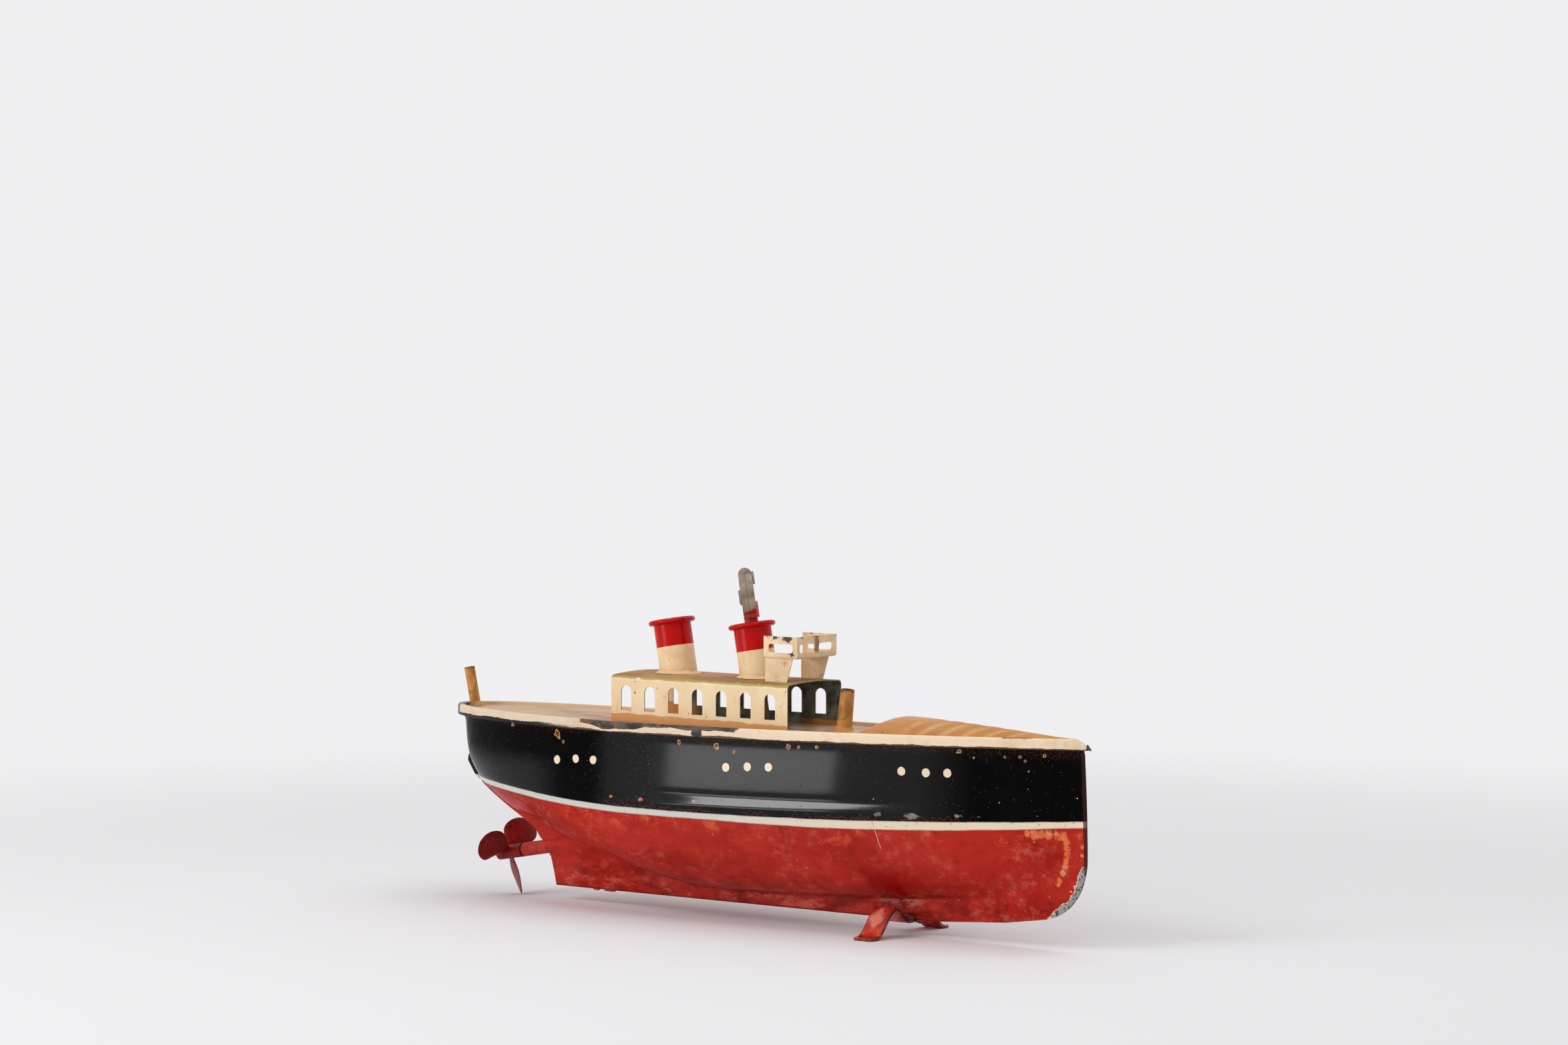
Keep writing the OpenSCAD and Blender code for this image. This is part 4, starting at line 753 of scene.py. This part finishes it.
def lipPaint():
    look = {"cream": (236, 214, 184), "creamAft": (218, 198, 174), "metal": (36, 30, 28),
            "metalPale": (88, 76, 68), "brown": (122, 84, 60), "ochre": (204, 152, 96), "dirtAndShade": (86, 60, 42),
            "black": (10, 10, 11), "inside": (196, 140, 84)}
    f = Finish("lipPaint", look, IOR=1.45, Specular_IOR_Level=0.25)
    back = ((f.x - lipWidest) / -90).most(0)
    fore = ((f.x - lipWidest) / 173.4).most(0)
    up = f.z - 62.72 - 0.6 * back ** 1.4 - 1.9 * fore ** 1.4
    ripple = f.sway(1, 6, 1, 5, 0.62, (2, 1, 0.5))
    colour = f.mix(f.x.fade(-60, 60), "creamAft", "cream")
    colour = colour.lay(f.cloud(9, 2, 4, 0.6).fade(0.5, 0.72) * 0.35, "ochre")
    colour = colour.lay(f.cloud(1.4, 3, 5, 0.7).fade(0.62, 0.68) * 0.6, "ochre")
    # painted shade as a ragged dark band along the lower edge, black carried up onto the lip aft
    colour = colour.lay((up + ripple * 2.0).fade(0.5, 0.42), "dirtAndShade")
    colour = colour.lay((up + ripple * 1.8).fade(1.1, 1.0) * f.x.fade(-52, -84), "black")
    # bare metal along the top amidships, at the stern and at the nose
    amidships = (f.x + ripple * 8).fade(-59.6, -59.2) * (f.x + ripple * 12).fade(8, 7)
    height = up + ripple * 2.6 + f.x.fade(-30, -36) * f.x.fade(-58, -50) * 1.1
    bite = (f.near((-9, -23.4, 64.2)) + ripple * 4).fade(2.3, 2.2)
    stern = (f.near((-130, -3, 65.6)) + ripple * 9).fade(7.0, 6.6)
    nose = (f.near((131.6, 0, 64.6)) + ripple * 2).fade(1.3, 1.1)
    chipped = (abs(f.x - 108) + ripple * 3).fade(5.2, 5.0) * (up + ripple).fade(3.4, 3.5) * f.starboard()
    bare = (height.fade(2.22, 2.3) * amidships).most(f.cloud(1.5, 5, 5, 0.66, (1.8, 1, 1)).fade(0.7, 0.72))
    for part in (bite, stern, nose, chipped):
        bare = bare.most(part)
    tone = f.mix(f.cloud(3, 6, 5, 0.65, (3, 1, 1)).fade(0.42, 0.62), "metal", "metalPale")
    tone = tone.lay(f.cloud(4, 7, 4).fade(0.5, 0.6).most(f.x.fade(-118, -124)) * 0.8, "brown")
    colour = colour.lay(height.fade(1.9, 2.1) * amidships * 0.8, "cream").lay(bare, tone)
    colour = colour.lay(f.z.fade(65.72, 65.78) * f.y.fade(0, 2) * f.x.fade(128, 120) * 0.5, "inside")
    rough = 0.3 + 0.15 * f.cloud(5, 8) - bare * 0.05
    return f.paint(colour, rough, f.cloud(2.2, 9) * 0.6 + f.cloud(14, 10, 2) * 1.5 - bare * 0.8, 0.12)


def deckPaint(name, look):
    f = Finish(name, look, IOR=1.45, Specular_IOR_Level=0.22)
    colour = f.mix(f.cloud(20, 1, 5, 0.65, (3, 1, 1), 0.5).fade(0.35, 0.7), "light", "base")
    colour = colour.lay(f.patches(9, 0.3, 2, 0.1, 5, (3, 1, 1)) * 0.55, "dirtAndShade")
    colour = colour.lay(f.patches(2.2, 0.06, 3, 0.02, 5) * 0.8, "chip")
    colour = colour.lay(f.dots(4.3, 0.07, 4) * 0.9, "dark")
    if "paintedCrestLight" in look:
        # painted light and shade on the creases: their crests are painted lighter and the hollows between painted
        # darker
        inward = 1 - abs(f.y) / (128.5 - f.x) / 0.3
        along = f.x - crease["paintedCrestLight"] - crease["slant"] * inward.most(0)
        wave = (along * (2 * math.pi / crease["pitch"])).sine()
        pressed = abs(f.x - crease["middle"]).fade(24, 18) * inward.fade(0, 0.2) * inward.fade(0.95, 0.6)
        colour = colour.lay(wave.fade(0.2, 1.0) * pressed * 0.45, "paintedCrestLight")
        colour = colour.lay(wave.fade(-0.2, -1.0) * pressed * 0.4, "paintedHollowShade")
    rough = 0.34 + 0.2 * f.cloud(6, 5, 4)
    return f.paint(colour, rough, f.cloud(14, 6) * 1.2 + f.cloud(1.5, 7) * 0.12, 0.16)


def cabinPaint():
    look = {"cream": (232, 203, 160), "creamLight": (240, 220, 186), "ochre": (200, 134, 66),
            "olive": (158, 148, 70), "inner": (128, 128, 112), "innerDark": (62, 64, 54),
            "roof": (182, 138, 94), "roofBrown": (148, 100, 62), "chip": (60, 50, 42),
            "paintedGlint": (246, 236, 216)}
    bend = {"fromMiddle": 13.5, "height": 13.9, "camber": 0.6, "skin": 1.4}
    f = Finish("cabinPaint", look, IOR=1.45, Specular_IOR_Level=0.25)
    floorZ = ship["deck"]
    wall = f.mix(f.cloud(12, 1, 5, 0.6, (1, 1, 1.6)).fade(0.4, 0.65) * 0.6, "cream", "creamLight")
    low = f.z + f.sway(1.8, 5, 2, 3, 0.5, (1, 1, 0.3)) + f.x * 0.01
    wall = wall.lay(low.fade(floorZ + 2.25, floorZ + 2.0) * 0.85, "ochre")
    wall = wall.lay(f.cloud(3, 3, 5, 0.6, (1, 1, 3.4)).fade(0.6, 0.72) * 0.35, "ochre")
    roof = f.mix(f.cloud(18, 4, 5, 0.65, (2.4, 1, 1)).fade(0.4, 0.7), "roof", "roofBrown")
    roof = roof.lay(f.patches(4, 0.1, 5, 0.05) * 0.5, "chip")
    isRoof = f.z.fade(roofZ - 1.3, roofZ - 0.9)
    bendLine = abs(f.z - (roofZ - 1.2) + f.sway(0.8, 4, 6)).fade(0.5, 0.3)
    frontEdge = (f.x + f.sway(1.6, 6, 13)).fade(19.4, 20.0) * f.z.fade(roofZ - 1.7, roofZ - 1.4)
    colour = wall.lay(isRoof, roof).lay(bendLine.most(frontEdge) * 0.85, "olive")
    # painted highlights: pale glints in patches along the bent edge
    colour = colour.lay(bendLine * f.patches(1.6, 0.14, 7, 0.03, 4, (3, 1, 1)), "paintedGlint")
    chip = f.patches(2.0, 0.035, 8, 0.02, 6)
    colour = colour.lay(chip, "chip")
    inner = f.mix(f.cloud(5, 9, 6, 0.7).fade(0.35, 0.65), "inner", "innerDark")
    inner = inner.lay(f.x.fade(-38, -52), "cream")
    inner = inner.lay(low.fade(floorZ + 4.4, floorZ + 3.8) * f.x.fade(-36, -42), "ochre")
    inner = inner.lay(low.fade(floorZ + 2.2, floorZ + 1.6) * f.x.fade(2, 12), "ochre")
    # the inner face is nearer than the outer one to the line that the roof's edge is bent about
    level = f.z - bend["camber"] + bend["camber"] * (f.y * f.y / bend["fromMiddle"] ** 2).least(1)
    side = (abs(f.y) - bend["fromMiddle"]).most(0)
    rise = (level - (floorZ + bend["height"])).most(0)
    isInner = (side * side + rise * rise).root().fade(bend["skin"] + 0.02, bend["skin"] - 0.02)
    rough = 0.26 + 0.2 * f.cloud(5, 10, 4) + isInner * 0.3 + isRoof * 0.3
    grain = f.cloud(9, 11) * 1.0 + f.cloud(0.9, 12, 2) * 0.1 - chip * 0.5
    return f.paint(colour.lay(isInner, inner), rough, grain, 0.15)


def funnelPaint(name, footX, wear):
    look = {"red": (200, 2, 2), "redDeep": (176, 1, 2), "cream": (240, 210, 166), "creamDark": (214, 172, 118),
            "inner": (70, 58, 48), "metal": (126, 122, 116), "brown": (92, 60, 44), "rust": (150, 52, 24)}
    f = Finish(name, look, IOR=1.5, Specular_IOR_Level=0.14)
    lean = motor["rake"]
    fromAxis = f.x - footX + (f.z - roofZ) * math.tan(lean)
    radius = (fromAxis * fromAxis * math.cos(lean) ** 2 + f.y * f.y).root()
    along = (f.z - roofZ) * math.cos(lean) - (f.x - footX) * math.sin(lean)
    red = f.mix(f.cloud(8, 2, 4, 0.6), "red", "redDeep")
    cream = f.mix(f.cloud(7, 3, 5, 0.6).fade(0.45, 0.75) * 0.5, "cream", "creamDark")
    cream = cream.lay(f.z.fade(roofZ + 2.6, roofZ + 0.6) * 0.4, "creamDark")
    gritty = (f.z + f.sway(4, 4, 10, 2)).fade(roofZ + 44 * wear, roofZ + 1)
    cream = cream.lay(f.cloud(0.8, 4, 5, 0.7).fade(0.6, 0.66) * gritty * 0.8, "rust")
    colour = cream.lay((along - 9.1 + f.sway(0.4, 2, 1)).fade(-0.08, 0.08), red)
    rim = along.fade(17.3, 17.9)
    chip = (f.cloud(1.5, 5, 5, 0.65) + rim * wear).fade(0.69, 0.71)
    colour = colour.lay(chip, f.mix(f.patches(3, 0.4, 9), "metal", "brown"))
    isInner = radius.fade(6.22, 6.18) * f.z.fade(roofZ + 18, roofZ + 16.4)
    rough = 0.14 + 0.12 * f.cloud(4, 6, 4) + isInner * 0.4 + chip * 0.2
    grain = f.cloud(6, 7) * 0.9 + f.cloud(0.8, 8, 2) * 0.08 - chip * 0.5
    return f.paint(colour.lay(isInner, "inner"), rough, grain, 0.12)


def bridgePaint():
    look = {"cream": (222, 190, 148), "light": (238, 212, 174), "dark": (74, 58, 46), "rust": (140, 84, 44)}
    cornerChips = (((21, -10.9, 91.6), 1.3), ((19.4, -11, 96.3), 1.7), ((14.2, -11, 96.6), 0.8))
    f = Finish("bridgePaint", look, IOR=1.45, Specular_IOR_Level=0.25)
    colour = f.mix(f.cloud(7, 1, 5, 0.6).fade(0.4, 0.65), "cream", "light")
    colour = colour.lay(f.patches(2.6, 0.12, 2, 0.08) * 0.4, "rust")
    bleed = f.sway(1, 1.1, 6, 5, 0.7)
    centre = (abs(f.y) + bleed * 3).fade(1.6, 0.8) * f.x.fade(20, 22.5) * f.z.fade(90.5, 92)
    colour = colour.lay(centre * 0.85, "rust")
    chip = (f.cloud(1.5, 3, 6, 0.7) + f.z.fade(95.6, 96.4) * 0.09).fade(0.67, 0.69)
    for spot, radius in cornerChips:
        chip = chip.most((f.near(spot) + bleed * 4 * radius).fade(radius, radius * 0.85))
    rough = 0.3 + 0.2 * f.cloud(4, 4, 4)
    return f.paint(colour.lay(chip, "dark"), rough, f.cloud(5, 5) - chip * 0.5, 0.1)


def plainPaint(name, look, size, chips, gloss):
    f = Finish(name, look, IOR=1.45, Specular_IOR_Level=0.22)
    colour = f.mix(f.cloud(size, 1, 5, 0.62).fade(0.38, 0.66), "base", "deep")
    colour = colour.lay(f.patches(size / 3, 0.16, 2, 0.07) * 0.6, "worn")
    chip = f.patches(size / 4, chips, 3, 0.02, 6)
    rough = gloss + 0.22 * f.cloud(size / 2, 4, 4) + chip * 0.15
    grain = f.cloud(size, 5) + f.cloud(0.8, 6, 2) * 0.12 - chip * 0.6
    return f.paint(colour.lay(chip, "chip"), rough, grain, 0.12)


def socketPaint(top):
    # Ochre tube, worn olive in a slanting stripe and dark at the open end
    look = {"base": (200, 138, 72), "deep": (164, 102, 44), "olive": (128, 118, 48), "dark": (74, 58, 40),
            "pale": (222, 168, 102)}
    f = Finish("socketPaint", look, IOR=1.45, Specular_IOR_Level=0.24)
    colour = f.mix(f.cloud(4, 1, 5, 0.62, (1, 1, 2)).fade(0.38, 0.66), "base", "deep")
    colour = colour.lay(f.patches(1.6, 0.12, 2, 0.05) * 0.6, "pale")
    bleed = f.sway(1, 1.6, 3, 4, 0.65)
    stripe = abs(f.z - top + 6.2 - f.y * 1.7 + bleed * 3).fade(1.1, 0.5) * abs(f.z - top + 6).fade(4.6, 4)
    colour = colour.lay(stripe * 0.75, "olive")
    rim = (f.z + bleed * 2.4).fade(top - 1.1, top - 0.8)
    colour = colour.lay((rim * 0.8).most(f.patches(1.1, 0.04, 4, 0.02, 6)), "dark")
    return f.paint(colour, 0.2 + 0.2 * f.cloud(2, 5, 4), f.cloud(4, 6) + f.cloud(0.8, 7, 2) * 0.12, 0.12)


def strapPaint():
    look = {"base": (192, 48, 30), "deep": (146, 22, 14), "pale": (220, 130, 108), "orange": (218, 96, 48),
            "edge": (64, 42, 38)}
    middle = 58.25
    f = Finish("strapPaint", look, IOR=1.45, Specular_IOR_Level=0.35)
    colour = f.mix(f.cloud(6, 1, 4, 0.6).fade(0.4, 0.62), "base", "deep")
    worn = abs(f.x - 57.6) / 3.6 + abs(f.z - 6.4) / 4 + f.sway(1.6, 2, 2, 5, 0.7)
    colour = colour.lay(worn.fade(1.1, 0.5) * 0.75, "pale")
    colour = colour.lay(f.cloud(2.2, 3, 6, 0.72).fade(0.48, 0.62) * f.z.fade(5, 1.5) * 0.8, "orange")
    edge = abs(f.x - middle).fade(3.45, 3.85).most(f.z.fade(0.9, 0.45))
    colour = colour.lay(edge * f.cloud(2, 4, 4).fade(0.36, 0.5) * 0.85, "edge")
    return f.paint(colour, 0.2 + 0.16 * f.cloud(3, 5), f.cloud(5, 6) + f.cloud(0.8, 7, 2) * 0.2, 0.14)


def keyPaint():
    # Dull tinned sheet, with the funnel's red run up the foot in a point
    look = {"base": (166, 148, 134), "deep": (132, 114, 102), "pale": (196, 178, 166), "stain": (96, 70, 56),
            "red": (188, 10, 20)}
    f = Finish("keyPaint", look, IOR=1.45, Specular_IOR_Level=0.3)
    lean = motor["rake"]
    along = (f.z - motor["place"][2]) * math.cos(lean) - (f.x - motor["place"][0]) * math.sin(lean)
    colour = f.mix(f.cloud(6, 1, 5, 0.62).fade(0.36, 0.66), "base", "deep")
    colour = colour.lay(f.patches(2.4, 0.14, 2, 0.07) * 0.7, "pale")
    colour = colour.lay(f.patches(1.4, 0.05, 3, 0.03, 6), "stain")
    bleed = f.sway(1, 2.2, 4, 4, 0.6)
    climb = (along + abs(f.y) * 1.5 + bleed * 4).fade(76.2, 75.2)
    streak = (abs(f.y + 0.3) + bleed * 1.2).fade(0.8, 0.45) * (along + bleed * 8).fade(84, 78)
    colour = colour.lay(climb.most(streak) * 0.85, "red")
    return f.paint(colour, 0.36 + 0.22 * f.cloud(3, 5, 4), f.cloud(5, 6) + f.cloud(0.8, 7, 2) * 0.12, 0.1)


def bareMetal(name, look, grain=(1, 1, 1), gloss=0.3, metal=1.0):
    f = Finish(name, look)
    colour = f.mix(f.cloud(6, 1, 5, 0.6).fade(0.35, 0.7), "base", "dull")
    colour = colour.lay(f.patches(2.4, 0.08, 2, 0.05) * 0.7, "stain")
    rough = gloss + 0.22 * f.cloud(2.5, 3, 4, 0.6, grain)
    return f.paint(colour, rough, f.cloud(0.5, 4, 2, 0.5, grain) * 0.3, 0.04, metal)


addCamera()
print("camera set")

steelPart = bareMetal("steelPart", {"base": (176, 176, 178), "dull": (120, 118, 118), "stain": (92, 72, 54)},
                      (8, 1, 1))
brassPart = bareMetal("brassPart", {"base": (206, 172, 98), "dull": (150, 120, 64), "stain": (92, 74, 44)})
springPart = bareMetal("springSteel", {"base": (92, 98, 122), "dull": (60, 62, 74), "stain": (70, 56, 44)})
arborPart = bareMetal("dullArbor", {"base": (112, 90, 58), "dull": (84, 66, 40), "stain": (60, 44, 30)},
                      (1, 1, 4), 0.4, 0.7)
propellerLook = {"base": (134, 16, 12), "deep": (104, 10, 8), "worn": (146, 44, 34), "chip": (64, 34, 28)}
tubeLook = {"base": (178, 50, 36), "deep": (144, 28, 20), "worn": (204, 98, 76), "chip": (120, 60, 44)}
beakLook = {"base": (60, 54, 50), "deep": (40, 36, 34), "worn": (110, 96, 84), "chip": (150, 130, 110)}
solderLook = {"base": (132, 118, 104), "deep": (92, 78, 66), "worn": (168, 156, 142), "chip": (60, 46, 38)}
propellerPaint = plainPaint("propellerPaint", propellerLook, 5, 0.05, 0.3)
tubePaint = plainPaint("tubePaint", tubeLook, 5, 0.05, 0.35)
darkMetal = plainPaint("darkMetal", beakLook, 3, 0.05, 0.3)
solderGrey = plainPaint("solderGrey", solderLook, 3, 0.06, 0.3)
deckLook = {"light": (200, 164, 130), "base": (176, 132, 96), "dirtAndShade": (138, 96, 64), "chip": (226, 198, 164),
            "dark": (70, 50, 36)}
humpLook = {"light": (202, 146, 90), "base": (188, 128, 72), "dirtAndShade": (160, 102, 52), "chip": (220, 180, 136),
            "dark": (80, 54, 34), "paintedCrestLight": (226, 176, 122), "paintedHollowShade": (176, 116, 62)}
funnelFeet = {"fore": -0.7, "aft": -35.1, "radius": 6.4}
foreFunnel = funnelPaint("funnelForePaint", funnelFeet["fore"], 0.07)
aftFunnel = funnelPaint("funnelAftPaint", funnelFeet["aft"], 0.13)
hullFinish, strapFinish, socketFinish = hullPaint(), strapPaint(), socketPaint(79.8)
bridgeFinish, keyFinish = bridgePaint(), keyPaint()
print("finishes made")

finishOf = {"cabin": cabinPaint(), "funnel_fore": foreFunnel, "funnel_aft": aftFunnel,
            "bridge_tray": bridgeFinish, "bridge_leg_starboard": bridgeFinish, "bridge_leg_port": bridgeFinish,
            "mast_socket": socketFinish, "flagstaff_socket": socketFinish, "stern_tube": tubePaint,
            "propeller_hub": propellerPaint, "stand_strap": strapFinish, "stern_lug": hullFinish,
            "key_bow": keyFinish, "key_shank": keyFinish, "winding_arbor": arborPart}
slotFinish = {"brass": brassPart, "steel": steelPart, "spring_steel": springPart}
slotOf = {part["node"]: part["material_slot"] for part in frame["record"]["subparts"]}
for node, piece in frame["nodes"].items():
    material = finishOf.get(node) or slotFinish.get(slotOf[node])
    if material:
        piece.data.materials.clear()
        piece.data.materials.append(material)
print("CAD nodes dressed")

boreForTube([makePiece("hullStarboard", hullHalf(1), hullFinish, ["hull_starboard"]),
             makePiece("hullPort", hullHalf(-1), hullFinish, ["hull_port"]),
             makePiece("shaftSwelling", shaftSwelling(), hullFinish)])
print("hull made")
makePiece("deckLip", lipRing(), lipPaint(), ["deck"])
makePiece("deckPlate", deckPlate(), deckPaint("deckPaint", deckLook), ["deck"])
makePiece("deckHump", deckHump(), deckPaint("humpPaint", humpLook), ["deck"])
makePiece("deckBeak", beakPoint(), darkMetal, ["deck"])
print("deck made")
for name, node, turn, bend in (("bladeLow", "blade_low", 0, 0), ("bladePort", "blade_port", -120, 0),
                               ("bladeStarboard", "blade_starboard", 120, 13)):
    makePiece(name, bladeMesh(turn, bend), propellerPaint, [node], "propeller")
for name, footX, material in (("foreFunnelSolder", funnelFeet["fore"], foreFunnel),
                              ("aftFunnelSolder", funnelFeet["aft"], aftFunnel)):
    makePiece(name, solderFoot(footX, roofZ, -10, funnelFeet["radius"], 1.5, 1.5), material)
socketLevel = ship["deck"] - 0.1
makePiece("mastSolder", solderFoot(34.66, socketLevel, 0, 3.0, 1.3, 1.2), socketFinish)
makePiece("flagstaffSolder", solderFoot(-126.6, socketLevel, 0, 2.4, 1.5, 1.3), solderGrey)
for name, place, reach, material in (("strapSolderStarboard", (61.4, -1.9, 6.0), (3.4, 1.3, 1.5), strapFinish),
                                     ("strapSolderPort", (61.0, 1.9, 6.0), (3.0, 1.3, 1.4), strapFinish),
                                     ("strapSolderFore", (65.4, -0.3, 4.9), (2.2, 1.0, 0.8), strapFinish),
                                     ("keelDripAft", (-71.5, 0, 4.9), (1.5, 0.55, 0.4), tubePaint),
                                     ("keelDripFore", (-65.5, 0, 4.9), (2.6, 0.55, 0.5), tubePaint)):
    makePiece(name, solderLump(place, reach), material)
print("propeller and solder made")

# Studio: pale floor that fades into the backdrop, soft light
studio = {"backdrop": rgb(240, 239, 241), "floor": rgb(238, 237, 239), "ambient": 0.53, "reach": 6.0}


def addFloor():
    size = studio["reach"]
    data = bpy.data.meshes.new("studioFloor")
    corners = [(-size, -size, 0), (size, -size, 0), (size, size, 0), (-size, size, 0)]
    data.from_pydata(corners, [], [(0, 1, 2, 3)])
    f = Finish("studioFloor", {}, Base_Color=studio["floor"], Roughness=0.9, Specular_IOR_Level=0.0)
    far = f.near((20, 0, 0)).fade(260, 700)
    light = f.add("Emission", {}, {"Color": studio["backdrop"], "Strength": 1.0})
    blend = f.add("MixShader", {}, {0: far, 1: f.shader.outputs[0], 2: light})
    f.tree.links.new(blend.socket, f.output.inputs[0])
    data.materials.append(f.material)
    floor = addObject("studioFloor", data)


def addWorld():
    # Camera and mirror rays see the backdrop, the rest a plain white ambient
    world = bpy.data.worlds.new("studioWorld")
    world.use_nodes = True
    tree = world.node_tree
    tree.nodes.clear()
    rays = addNode(tree, "LightPath", {}, {}).outputs
    seen = rays["Is Camera Ray"]
    for kind in ("Is Glossy Ray", "Is Transmission Ray"):
        seen = addNode(tree, "Math", {"operation": "MAXIMUM"}, {0: seen, 1: rays[kind]}).outputs[0]
    shown = addNode(tree, "Background", {}, {"Color": studio["backdrop"]})
    ambient = addNode(tree, "Background", {}, {"Color": (1, 1, 1, 1), "Strength": studio["ambient"]})
    pick = addNode(tree, "MixShader", {}, {0: seen, 1: ambient.outputs[0], 2: shown.outputs[0]})
    addNode(tree, "OutputWorld", {}, {0: pick.outputs[0]})
    bpy.context.scene.world = world


def addLamp(name, place, target, size, power):
    data = bpy.data.lights.new(name, "AREA")
    data.shape = "RECTANGLE"
    data.size, data.size_y = size
    data.energy = power
    lamp = addObject(name, data)
    lamp.location = place
    lamp.rotation_euler = (Vector(target) - Vector(place)).to_track_quat("-Z", "Y").to_euler()


addFloor()
addWorld()
addLamp("keySoftbox", (-0.45, -0.95, 0.95), (0, 0, 0.05), (0.6, 0.5), 3.2)
addLamp("topSoftbox", (0.25, 0.1, 1.1), (0, 0, 0.05), (1.0, 0.8), 4.3)
addLamp("sidePanel", (-0.505, -0.977, 0.085), (0, 0, 0.085), (0.324, 0.17), 0.85)
addLamp("ridgeStrip", (-0.423, -0.95, 0.28), (0, 0, 0.045), (0.38, 0.1), 2.2)
bpy.context.scene.view_settings.view_transform = "Standard"
print("studio made")
